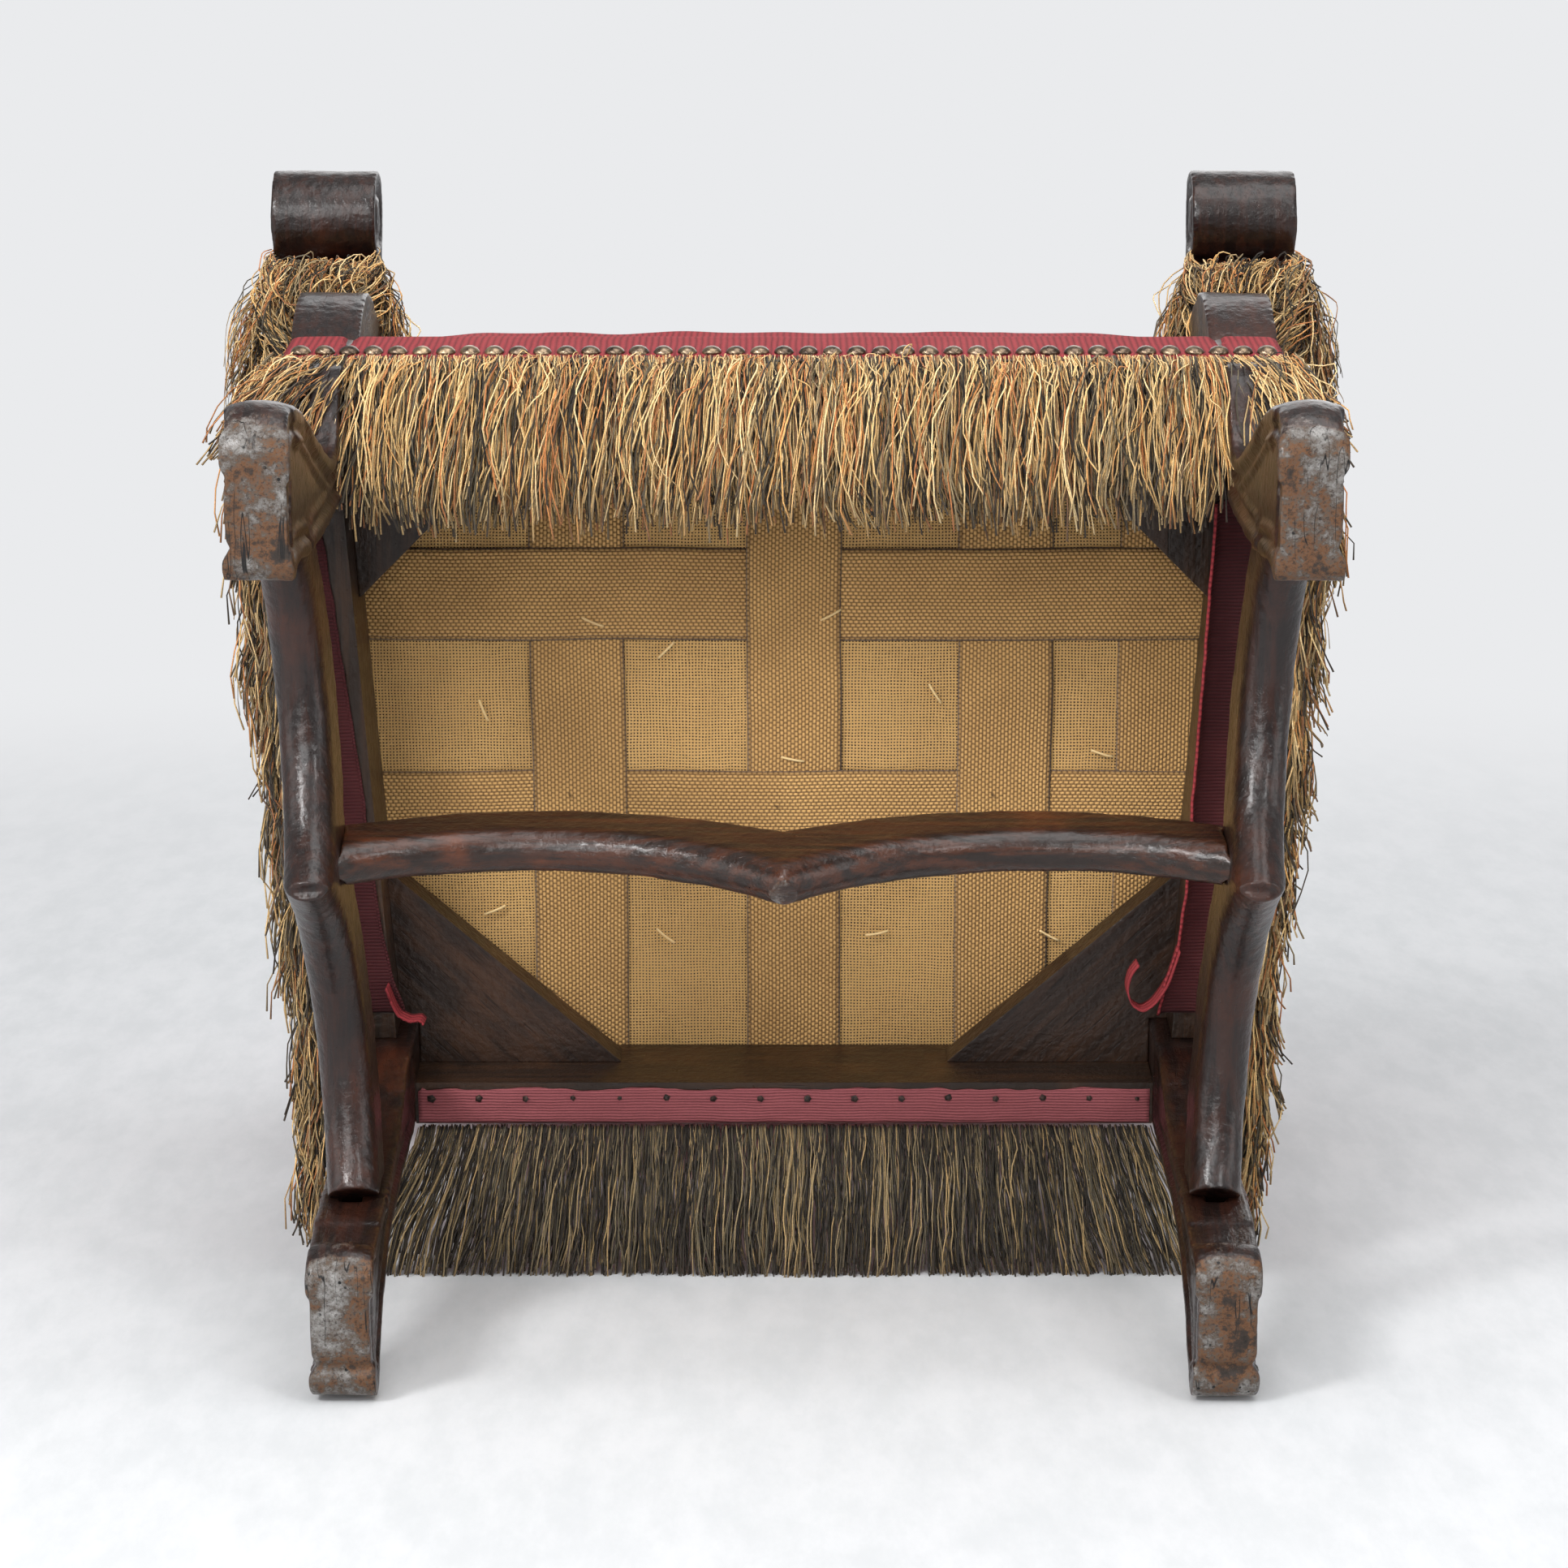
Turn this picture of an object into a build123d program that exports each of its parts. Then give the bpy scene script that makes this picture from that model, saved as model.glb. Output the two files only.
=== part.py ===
from build123d import *
import math
import os

# An upholstered baroque armchair: S-shaped plank legs, an H-stretcher of double-arched members,
# scrolled and padded arms, a webbed seat and a raked, padded back.
# Millimetres. X is across the chair, the sitter faces -Y, Z is up and the feet stand on Z = 0.
# Lengths along Y are counted from the cross stretcher, and mid_y is that line in the chair's frame.

mid_y = -52.9

# Seat frame
rail_bottom = 330
rail_top = 405
rail_thick = 30
front_face = -273  # outer face of the front rail
rear_face = 262  # outer face of the rear rail
tenon_thick = 10
tenon_depth = 22

# Legs
leg_thick = 42
front_leg_x = 309
rear_leg_x = 275
front_block_back = -193  # rear face of the front leg's top block
rear_block_front = 200  # front face of the rear leg's top block
field_depth = 2.5  # of the sunk field on a leg's sides

# Back
rake = math.radians(15.3)
post_foot = (236, 420)  # where the back's raked centre line starts
post_half = 24
post_length = 730
back_rail_height = 52
back_bottom = 130  # lower edge of the back's frame, up the rake
back_pad_front = 60

# Stretchers
stretcher_end = 222  # depth of the stretchers' tenons, counted from the cross stretcher
side_stretcher_thick = 33
cross_stretcher_thick = 28
arris_end = 100  # height of the lower edge of a stretcher's flat faces at its ends
arris_crown = 37  # rise of each arch over its ends
arris_tip = 31  # fall of the middle under the ends
flat_end = 37  # height of the flat faces at the ends
tip_cut = 4  # wear on the tip of the cross stretcher

# Arms
arm_thick = 46  # the arm supports
scroll_centre = (-315, 642)
scroll_radius = 33
scroll_width = 74
arm_x = 329
arm_rear = 310
arm_outside = ((361, -280), (341, 20), (296, 300))  # an arc through three points, seen from above
arm_inside = ((297, -280), (283, 20), (254, 300))
cover_start = -272  # just behind the scroll
arm_cover_end = 262
arm_nail_end = 222
arm_pad_rise = 20
crown_radius = 14
slot_gap = 0.5

# Upholstery
strip_width = 65
strip_thick = 1.5
cloth = 2
nail_pitch = 16.1
nail_radius = 6.2
nail_height = 3.2
nail_line = 345
fringe_fall = (90, -56)  # the hanging end of a fringe cord, from its root, along Y and Z
fringe_top = nail_line - nail_radius - 0.3
fringe_thick = 9

pieces = {}


def side(x):
    """A plane across X: its own x runs along Y and its own y runs up."""
    return Plane(origin=(x, mid_y, 0), x_dir=(0, 1, 0), z_dir=(1, 0, 0))


def facing(y):
    """A plane that faces the front: its own x runs along X and its own y runs up."""
    return Plane(origin=(0, mid_y + y, 0), x_dir=(1, 0, 0), z_dir=(0, -1, 0))


def level(z):
    return Plane(origin=(0, mid_y, z))


def raked(n):
    """A plane in the back's slope, n in front of the posts' middle: its own y runs up the rake."""
    forward = Vector(0, -math.cos(rake), math.sin(rake))
    origin = Vector(0, mid_y + post_foot[0], post_foot[1]) + forward * n
    return Plane(origin=origin, x_dir=(1, 0, 0), z_dir=forward)


def rake_point(s, n):
    """A point of the back in the side plane, s up the rake and n in front of the posts' middle."""
    y = post_foot[0] + s * math.sin(rake) - n * math.cos(rake)
    return (y, post_foot[1] + s * math.cos(rake) + n * math.sin(rake))


def rail_outer(y):
    """Half width over the side rails, which draw in towards the back."""
    return 323 - (y - front_block_back) * 27 / (rear_block_front - front_block_back)


def rail_inner(y):
    return rail_outer(y) - rail_thick


def both_halves(points):
    """The closed outline whose right half is given from front to back."""
    left = [(-x, y) for x, y in reversed(points)]
    with BuildSketch() as outline:
        with BuildLine():
            Polyline(*points, *left, close=True)
        make_face()
    return outline.sketch


# ---------------------------------------------------------------- outlines in the side plane


def front_leg_outline():
    top = rail_top
    with BuildSketch() as outline:
        with BuildLine():
            Polyline((front_block_back, 330), (front_block_back, top), (front_face, top), (front_face, 318))
            contour = Spline(
                (front_face, 318), (-263, 297), (-240, 281), (-227, 261), (-233, 224), (-250, 180),
                (-272, 130), (-294, 80), (-307, 46),
            )
            TangentArc(contour @ 1, (-286, 0), tangent=contour % 1)
            Line((-286, 0), (-217, 0))
            ThreePointArc((-217, 0), (-208, 5), (-207, 16))
            Spline(
                (-207, 16), (-210, 34), (-205, 70), (-198, 120), (-193, 180), (-190, 250),
                (front_block_back, 330),
            )
        make_face()
    return outline.sketch


def rear_leg_outline():
    with BuildSketch() as outline:
        with BuildLine():
            Polyline(
                (rear_face, 330), (rear_face, 400), rake_point(8, -post_half),
                rake_point(post_length, -post_half), rake_point(post_length, post_half),
                rake_point(12, post_half), (rear_block_front, 400), (rear_block_front, 330),
            )
            Spline(
                (rear_block_front, 330), (196, 303), (201, 275), (212, 243), (221, 205), (224, 160),
                (223, 110), (223, 60), (225, 31),
                tangents=((0, -1), (0, -1)),
            )
            Line((225, 31), (221, 25))
            ThreePointArc((221, 25), (225, 8), (236, 0))
            Line((236, 0), (303, 0))
            ThreePointArc((303, 0), (316, 6), (319, 20))
            Spline(
                (319, 20), (309, 37), (288, 61), (269, 95), (259, 140), (257, 200), (259, 265),
                (rear_face, 330),
            )
        make_face()
    return outline.sketch


def arm_support_outline():
    with BuildSketch() as outline:
        with BuildLine():
            Spline(
                (-268, 405), (-284, 438), (-290, 470), (-281, 512), (-257, 556), (-247, 600), (-249, 640),
            )
            Line((-249, 640), (-196, 640))
            Spline(
                (-196, 640), (-192, 600), (-201, 560), (-223, 516), (-233, 470), (-224, 434), (-205, 405),
            )
            Line((-205, 405), (-268, 405))
        make_face()
    return outline.sketch


def arm_bottom(y):
    """Height of the arm's lower edge, which sags a little behind the scroll."""
    return 612 + 0.00026 * (y + 120) ** 2


def arm_top(y):
    return 649 + 0.00026 * (y + 140) ** 2


def arm_elevation():
    lower = [(y, arm_bottom(y)) for y in (arm_rear, 20, -260)]
    upper = [(y, arm_top(y)) for y in (-270, 20, arm_rear)]
    neck = scroll_centre[0] + scroll_radius - 4
    with BuildSketch() as outline:
        with BuildLine():
            ThreePointArc(*lower)
            Polyline(lower[-1], (neck, 626), (neck, 662), upper[0])
            ThreePointArc(*upper)
            Line(upper[-1], lower[0])
        make_face()
        with Locations(scroll_centre):
            Circle(scroll_radius)
    return outline.sketch


def arm_wrap_elevation(rise, lift, end=arm_cover_end):
    """From the arm's lower edge to rise over its top, between the scroll and the post."""
    lower = [(y, arm_bottom(y) + lift) for y in (end, 20, cover_start)]
    upper = [(y, arm_top(y) + rise) for y in (cover_start, 20, end)]
    with BuildSketch() as outline:
        with BuildLine():
            ThreePointArc(*lower)
            Line(lower[-1], upper[0])
            ThreePointArc(*upper)
            Line(upper[-1], lower[0])
        make_face()
    return outline.sketch


def arm_plan(grow=0, scroll=0, tail=0):
    """The arm from above, for the right-hand side: it draws in towards the post."""
    outside = [(x + grow, y) for x, y in arm_outside]
    inside = [(x - grow, y) for x, y in arm_inside]
    end = arm_rear + tail
    with BuildSketch() as outline:
        with BuildLine():
            ThreePointArc(*outside)
            Polyline(outside[-1], (outside[-1][0], end), (inside[-1][0], end), inside[-1])
            ThreePointArc(*inside)
            Line(inside[0], outside[0])
        make_face()
        if scroll:
            with Locations((arm_x, scroll_centre[0])):
                Rectangle(scroll, 2 * scroll_radius + 8)
    return outline.sketch


# ---------------------------------------------------------------- legs


def front_leg_field():
    """The sunk field between the leg's raised borders."""
    with BuildSketch() as field:
        with BuildLine():
            Line((-202, 318), (-262, 318))
            Spline(
                (-262, 318), (-253, 302), (-231, 287), (-218, 261), (-224, 226), (-241, 183),
                (-263, 133), (-285, 84), (-302, 36), (-284, 10),
                tangents=((0, -1), (1, 0)),
            )
            Line((-284, 10), (-222, 10))
            Spline((-222, 10), (-217, 32), (-213, 70), (-207, 120), (-202, 180), (-198, 250), (-202, 318))
        make_face()
        with Locations((-247, 9)):
            Rectangle(42, 18)
    return field.sketch


def rear_leg_field():
    with BuildSketch() as field:
        with BuildLine():
            Line((253, 322), (209, 322))
            Spline(
                (209, 322), (205, 302), (210, 277), (221, 245), (230, 206), (233, 160), (232, 110),
                (232, 60), (232, 24),
            )
            Line((232, 24), (240, 12))
            Line((240, 12), (300, 12))
            Spline((300, 12), (302, 28), (281, 54), (261, 93), (250, 139), (248, 200), (253, 322))
        make_face()
        with Locations((272, 9)):
            Rectangle(48, 18)
    return field.sketch


def carve_side_fields(field, x):
    """Sink the field into both sides of a leg."""
    for hand in (-1, 1):
        with BuildSketch(side(x + hand * leg_thick / 2)) as sunk:
            add(field)
        extrude(sunk.sketch, amount=-hand * field_depth, mode=Mode.SUBTRACT)


def mortise(y, z, x, length, height, depth):
    """A pocket for a tenon: depth along X, height up, length along Y."""
    with Locations((x, mid_y + y, z)):
        Box(depth, length, height, mode=Mode.SUBTRACT)


def front_leg(hand):
    x = hand * front_leg_x
    inner = x - hand * leg_thick / 2
    with BuildPart() as leg:
        with BuildSketch(side(x)):
            add(front_leg_outline())
        extrude(amount=leg_thick / 2, both=True)
        carve_side_fields(front_leg_field(), x)
        # front rail, side rail, side stretcher and arm support
        mortise(front_face + rail_thick / 2, 367, inner + hand * tenon_depth / 2, tenon_thick, 50, tenon_depth)
        mortise(front_block_back - tenon_depth / 2, 367, x - hand * 1, tenon_depth, 40, tenon_thick)
        mortise(-211, 112, x - hand * 1, 24, 34, 14)
        mortise(support_tenon_y, rail_top - 15, x, 24, 30, 16)
    return leg


def rear_leg(hand):
    x = hand * rear_leg_x
    inner = x - hand * leg_thick / 2
    with BuildPart() as leg:
        with BuildSketch(side(x)):
            add(rear_leg_outline())
        extrude(amount=leg_thick / 2, both=True)
        carve_side_fields(rear_leg_field(), x)
        # rear rail, side rail, side stretcher, back rails and arm
        mortise(rear_face - rail_thick / 2, 367, inner + hand * tenon_depth / 2, tenon_thick, 50, tenon_depth)
        mortise(rear_block_front + tenon_depth / 2, 367, x + hand * 2, tenon_depth, 40, tenon_thick)
        mortise(233, 112, x + hand * 1, 24, 34, 14)
        with BuildSketch(raked(2)) as rails:
            with Locations(*[(inner + hand * tenon_depth / 2, s) for s in back_rail_middles]):
                Rectangle(tenon_depth, back_rail_height - 14)
        extrude(rails.sketch, amount=tenon_thick, mode=Mode.SUBTRACT)
        mortise(286, 672, x, 44, 20, 14)
    return leg


support_tenon_y = -231
back_rail_middles = (back_bottom + back_rail_height / 2, post_length - back_rail_height / 2)
front_legs = {hand: front_leg(hand) for hand in (-1, 1)}
rear_legs = {hand: rear_leg(hand) for hand in (-1, 1)}
hands = {-1: "left", 1: "right"}

for hand, name in hands.items():
    pieces[f"front_leg_{name}"] = front_legs[hand].part
    pieces[f"rear_leg_{name}"] = rear_legs[hand].part


# ---------------------------------------------------------------- stretchers


def arch_board(plane, reach, thick):
    """One half of a double-arched member, from its tip to its end, over a half-round underside."""
    end = (reach, arris_end)
    tip = (0, arris_end - arris_tip)
    crown = (reach / 2, arris_end + arris_crown - 3)
    with BuildPart() as half:
        with BuildSketch(plane) as board:
            with BuildLine():
                ThreePointArc(tip, crown, end)
                Line(end, (reach, arris_end + flat_end))
                ThreePointArc(
                    (reach, arris_end + flat_end),
                    (reach / 2, crown[1] + flat_end + 1),
                    (0, arris_end + flat_end - 9),
                )
                Line((0, arris_end + flat_end - 9), tip)
            make_face()
        extrude(board.sketch, amount=thick / 2, both=True)
        overrun = 14  # the round runs past the middle, and is mitred there
        with BuildLine(plane) as rib:
            arc = ThreePointArc(tip, crown, end)
            Line(arc @ 0 - (arc % 0) * overrun, arc @ 0)
        with BuildSketch(Plane(origin=arc @ 1, z_dir=arc % 1)) as round_section:
            Circle(thick / 2 - 0.01)
        sweep(round_section.sketch, path=rib.wire())
    return half


def stretcher(plane, reach, thick):
    """A whole member: the half is cut at its middle and mirrored, so that the rounds meet in a mitre."""
    middle = Plane(origin=plane.origin, x_dir=plane.y_dir, z_dir=plane.x_dir)
    with BuildPart() as whole:
        add(arch_board(plane, reach, thick).part)
        split(bisect_by=middle, keep=Keep.TOP)
        mirror(about=middle)
    return whole


side_stretchers = {}
for hand, name in hands.items():
    turn = math.atan2(front_leg_x - rear_leg_x, 430)
    along = Vector(-hand * math.sin(turn), math.cos(turn), 0)
    middle_x = hand * (front_leg_x + rear_leg_x) / 2
    board_plane = Plane(origin=(middle_x, mid_y, 0), x_dir=along, z_dir=(along.Y, -along.X, 0))
    with BuildPart() as side_stretcher:
        add(stretcher(board_plane, stretcher_end, side_stretcher_thick).part)
        add(front_legs[hand].part, mode=Mode.SUBTRACT)
        add(rear_legs[hand].part, mode=Mode.SUBTRACT)
        with Locations((middle_x - hand * 6, mid_y, arris_end)):
            Box(24, tenon_thick + 4, 30, mode=Mode.SUBTRACT)
    side_stretchers[hand] = side_stretcher
    pieces[f"side_stretcher_{name}"] = side_stretcher.part

with BuildPart() as cross_stretcher:
    reach = (front_leg_x + rear_leg_x) / 2 - side_stretcher_thick / 2 + 10
    add(stretcher(facing(0), reach, cross_stretcher_thick).part)
    lowest = cross_stretcher.part.bounding_box().min.Z
    with Locations((0, mid_y, lowest)):
        Box(60, 60, 2 * tip_cut, mode=Mode.SUBTRACT)
    for hand in hands:
        add(side_stretchers[hand].part, mode=Mode.SUBTRACT)
pieces["cross_stretcher"] = cross_stretcher.part


# ---------------------------------------------------------------- seat frame

rail_height = rail_top - rail_bottom
block_tenon = front_leg_x - leg_thick / 2 + tenon_depth
with BuildPart() as front_rail:
    with BuildSketch(level(rail_bottom)):
        with Locations((0, front_face + rail_thick / 2)):
            Rectangle(2 * block_tenon, rail_thick)
    extrude(amount=rail_height)
    for hand in hands:
        add(front_legs[hand].part, mode=Mode.SUBTRACT)
pieces["front_rail"] = front_rail.part

with BuildPart() as rear_rail:
    with BuildSketch(level(rail_bottom)):
        with Locations((0, rear_face - rail_thick / 2)):
            Rectangle(2 * (rear_leg_x - leg_thick / 2 + tenon_depth), rail_thick)
    extrude(amount=rail_height)
    for hand in hands:
        add(rear_legs[hand].part, mode=Mode.SUBTRACT)
pieces["rear_rail"] = rear_rail.part

for hand, name in hands.items():
    first = front_block_back - tenon_depth
    last = rear_block_front + tenon_depth
    with BuildPart() as side_rail:
        with BuildSketch(level(rail_bottom)):
            with BuildLine():
                Polyline(
                    (hand * rail_outer(first), first), (hand * rail_outer(last), last),
                    (hand * rail_inner(last), last), (hand * rail_inner(first), first), close=True,
                )
            make_face()
        extrude(amount=rail_height)
        add(front_legs[hand].part, mode=Mode.SUBTRACT)
        add(rear_legs[hand].part, mode=Mode.SUBTRACT)
    pieces[f"side_rail_{name}"] = side_rail.part

block_side = 141
block_thick = 25
block_top = 395


def corner_block(corners):
    with BuildPart() as block:
        with BuildSketch(level(block_top)):
            with BuildLine():
                Polyline(*corners, close=True)
            make_face()
        extrude(amount=-block_thick)
    return block.part


for hand, name in hands.items():
    leg_inner = front_leg_x - leg_thick / 2
    front_in = front_face + rail_thick
    pieces[f"front_corner_block_{name}"] = corner_block([
        (hand * leg_inner, front_in), (hand * leg_inner, front_block_back),
        (hand * rail_inner(front_block_back), front_block_back),
        (hand * rail_inner(front_in + block_side), front_in + block_side),
        (hand * (leg_inner - block_side), front_in),
    ])
    leg_inner = rear_leg_x - leg_thick / 2
    rear_in = rear_face - rail_thick
    pieces[f"rear_corner_block_{name}"] = corner_block([
        (hand * leg_inner, rear_in), (hand * leg_inner, rear_block_front),
        (hand * rail_inner(rear_block_front), rear_block_front),
        (hand * rail_inner(rear_in - block_side), rear_in - block_side),
        (hand * (leg_inner - block_side), rear_in),
    ])


# ---------------------------------------------------------------- arms

arms = {}
for hand, name in hands.items():
    with BuildPart() as arm:
        with BuildSketch(side(0)):
            add(arm_elevation())
        extrude(amount=450, both=True)
        with BuildSketch(level(500)):
            add(arm_plan(scroll=scroll_width))
            if hand < 0:
                mirror(about=Plane.YZ, mode=Mode.REPLACE)
        extrude(amount=300, mode=Mode.INTERSECT)
        add(rear_legs[hand].part, mode=Mode.SUBTRACT)
        # an eye is sunk into both ends of the scroll
        for end in (-1, 1):
            with BuildSketch(side(hand * arm_x + end * scroll_width / 2)) as eye:
                with Locations(scroll_centre):
                    Circle(0.72 * scroll_radius)
                    Circle(0.4 * scroll_radius, mode=Mode.SUBTRACT)
            extrude(eye.sketch, amount=-end * field_depth, mode=Mode.SUBTRACT)
        mortise(-222, 625, hand * front_leg_x, 26, 26, 16)
    arms[hand] = arm
    pieces[f"arm_{name}"] = arm.part

    with BuildPart() as arm_support:
        with BuildSketch(side(hand * front_leg_x)):
            add(arm_support_outline())
        extrude(amount=arm_thick / 2, both=True)
        # the top is coped to the arm's lower edge, and a tenon goes on from there
        with BuildSketch(side(0)) as above:
            add(arm_wrap_elevation(60, 0))
        extrude(above.sketch, amount=400, both=True, mode=Mode.SUBTRACT)
        add(arm.part, mode=Mode.SUBTRACT)
        with Locations((hand * front_leg_x, mid_y - 222, 620)):
            Box(16, 26, 36)
        with Locations((hand * front_leg_x, mid_y + support_tenon_y, rail_top - 15)):
            Box(16, 24, 30)
    pieces[f"arm_support_{name}"] = arm_support.part


# ---------------------------------------------------------------- back frame

for name, middle in zip(("bottom", "top"), back_rail_middles):
    with BuildPart() as back_rail:
        with BuildSketch(raked(-8)):
            with Locations((0, middle)):
                Rectangle(2 * (rear_leg_x - leg_thick / 2 + tenon_depth), back_rail_height)
        extrude(amount=post_half + 8)
        for hand in hands:
            add(rear_legs[hand].part, mode=Mode.SUBTRACT)
    pieces[f"back_{name}_rail"] = back_rail.part


# ---------------------------------------------------------------- webbing, burlap and stuffing

lateral_bottom = rail_top + strip_thick
burlap_bottom = rail_top + 2 * strip_thick
burlap_thick = 1
pad_bottom = burlap_bottom + burlap_thick
pad_top = 484

for name, x in (("left", -142), ("middle", 7), ("right", 152), ("far_right", 262)):
    with BuildPart() as strip:
        with BuildSketch(level(rail_top)):
            with Locations((x, (front_face + rear_face) / 2)):
                Rectangle(strip_width, rear_face - front_face - 10)
        extrude(amount=strip_thick)
        for hand in hands:
            add(rear_legs[hand].part, mode=Mode.SUBTRACT)
            add(pieces[f"arm_support_{hands[hand]}"], mode=Mode.SUBTRACT)
    pieces[f"webbing_long_{name}"] = strip.part

for name, y in (("front", -95.5), ("rear", 63.5)):
    with BuildPart() as strip:
        with BuildSketch(level(lateral_bottom)):
            with Locations((0, y)):
                Rectangle(2 * rail_outer(y) - 14, strip_width)
        extrude(amount=strip_thick)
    pieces[f"webbing_cross_{name}"] = strip.part

support_inner = front_leg_x - arm_thick / 2
post_inner = rear_leg_x - leg_thick / 2


def seat_outline(grow):
    """The stuffed part of the seat, cut round the arm supports and the back posts."""
    return both_halves([
        (support_inner - 5 + grow, front_face + 3 - grow),
        (support_inner - 5 + grow, front_block_back + 2 - grow),
        (rail_outer(front_block_back) - 2 + grow, front_block_back + 4 - grow),
        (rail_outer(rear_block_front) - 2 + grow, rear_block_front - 4 + grow),
        (post_inner - 4 + grow, rear_block_front - 2 + grow),
        (post_inner - 4 + grow, rear_face - 6 + grow),
    ])


def seat_body(grow):
    with BuildPart() as body:
        with BuildSketch(level(pad_bottom)):
            add(seat_outline(grow))
        extrude(amount=pad_top - pad_bottom + grow)
        top_edges = body.faces().sort_by(Axis.Z)[-1].edges()
        fillet(top_edges, radius=26)
    return body.part


with BuildPart() as burlap:
    with BuildSketch(level(burlap_bottom)):
        add(seat_outline(-2))
    extrude(amount=burlap_thick)
pieces["burlap"] = burlap.part

pieces["seat_stuffing"] = seat_body(0)


def frame_outline(grow):
    """Round the outside of the seat frame, grow beyond the wood."""
    leg_outer = front_leg_x + leg_thick / 2
    rear_outer = rear_leg_x + leg_thick / 2
    return both_halves([
        (leg_outer + grow, front_face - grow),
        (leg_outer + grow, front_block_back),
        (rail_outer(front_block_back + 8) + grow, front_block_back + 8),
        (rear_outer + grow, rear_block_front),
        (rear_outer + grow, rear_face + grow),
    ])


with BuildPart() as seat_cover:
    with BuildSketch(level(rail_bottom + 3)):
        add(frame_outline(cloth))
        add(frame_outline(0), mode=Mode.SUBTRACT)
    extrude(amount=pad_bottom - rail_bottom - 3)
    add(seat_body(cloth))
    add(seat_body(0), mode=Mode.SUBTRACT)
    # the cloth turns in over the frame between the band and the pad
    with BuildSketch(level(pad_bottom)):
        add(frame_outline(cloth))
        add(seat_outline(cloth), mode=Mode.SUBTRACT)
    extrude(amount=cloth)
    for hand in hands:
        add(rear_legs[hand].part, mode=Mode.SUBTRACT)
        add(pieces[f"arm_support_{hands[hand]}"], mode=Mode.SUBTRACT)
pieces["seat_cover"] = seat_cover.part


# ---------------------------------------------------------------- turned-under cloth and its tacks

under_thick = 1.2
under_half = post_inner - 2
with BuildPart() as turned_under_strip:
    with BuildSketch(level(rail_bottom)):
        with Locations((0, rear_face - rail_thick / 2 + 1)):
            Rectangle(2 * under_half, rail_thick - 4)
    extrude(amount=-under_thick)
pieces["turned_under_strip"] = turned_under_strip.part

tack_count = 16
with BuildPart() as tacks:
    with BuildSketch(level(rail_bottom - under_thick)):
        with Locations((0, rear_face - rail_thick / 2 - 4)):
            with GridLocations(2 * (under_half - 9) / (tack_count - 1), 1, tack_count, 1):
                RegularPolygon(3, 6)
    extrude(amount=-1)
pieces["tacks"] = tacks.part

edge_height = 13
for hand, name in hands.items():
    end = (150, 128)[hand > 0]
    with BuildPart() as loose_edge:
        with BuildSketch(level(rail_bottom)):
            with BuildLine():
                start = (hand * (rail_inner(-170) - 0.7), -170)
                bend = (hand * (rail_inner(end) - 0.7), end)
                Line(start, bend)
                if hand > 0:
                    ThreePointArc(bend, (bend[0] - 14, end + 26), (bend[0] - 38, end + 8))
                else:
                    ThreePointArc(bend, (bend[0] + 4, end + 9), (bend[0] + 14, end + 14))
            trace(line_width=1.2)
        extrude(amount=-edge_height)
    pieces[f"loose_cover_edge_{name}"] = loose_edge.part


# ---------------------------------------------------------------- nails


def nail_row(planes):
    """Six-sided domed heads, one on each plane, with their flat side on the cloth."""
    with BuildPart() as row:
        with BuildSketch(*planes):
            RegularPolygon(nail_radius, 6)
        extrude(amount=nail_height, taper=32)
    return row.part


def spaced(start, end, pitch=nail_pitch):
    """Points from start to end in even steps, as near to the pitch as they fit."""
    run = Vector(*end) - Vector(*start)
    steps = max(1, round(run.length / pitch))
    return [Vector(*start) + run * (i / steps) for i in range(steps + 1)]


def nails_along(start, end, outward):
    return [Plane(origin=point, z_dir=outward) for point in spaced(start, end)]


front_y = mid_y + front_face - cloth
pieces["front_nails"] = nail_row(
    nails_along((-318, front_y, nail_line), (318, front_y, nail_line), (0, -1, 0))
)

for hand, name in hands.items():
    turn_in = front_block_back + 8
    slope = (rail_outer(turn_in) - rear_leg_x - leg_thick / 2) / (rear_block_front - turn_in)
    outward = Vector(hand, hand * slope * hand, 0).normalized()
    rail_start = (hand * (rail_outer(turn_in + 12) + cloth), mid_y + turn_in + 12, nail_line)
    rail_end = (hand * (rail_outer(rear_block_front - 8) + cloth), mid_y + rear_block_front - 8, nail_line)
    block_x = hand * (front_leg_x + leg_thick / 2 + cloth)
    post_x = hand * (rear_leg_x + leg_thick / 2 + cloth)
    pieces[f"side_nails_{name}"] = nail_row(
        nails_along((block_x, mid_y - 264, nail_line), (block_x, mid_y - 200, nail_line), (hand, 0, 0))
        + nails_along(rail_start, rail_end, outward)
        + nails_along((post_x, mid_y + 208, nail_line), (post_x, mid_y + 255, nail_line), (hand, 0, 0))
    )


# ---------------------------------------------------------------- seat fringe


def fringe_fall_outline(root_y, outward):
    """A fringe's section: the cords leave the face, hang, and lie back towards the rear."""
    top = fringe_top
    bend = top - 7
    drop_y, drop_z = fringe_fall
    near, far = sorted((root_y, root_y + outward * fringe_thick))
    near_tip = (near + drop_y, top + drop_z)
    far_tip = (far + drop_y, top + drop_z + fringe_thick)
    with BuildSketch() as outline:
        with BuildLine():
            Polyline((near, bend), (near, top), (far, top), (far, bend))
            ThreePointArc((far, bend), (far + 27, top - 33), far_tip)
            Line(far_tip, near_tip)
            ThreePointArc(near_tip, (near + 24, top - 41), (near, bend))
        make_face()
    return outline.sketch


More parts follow.
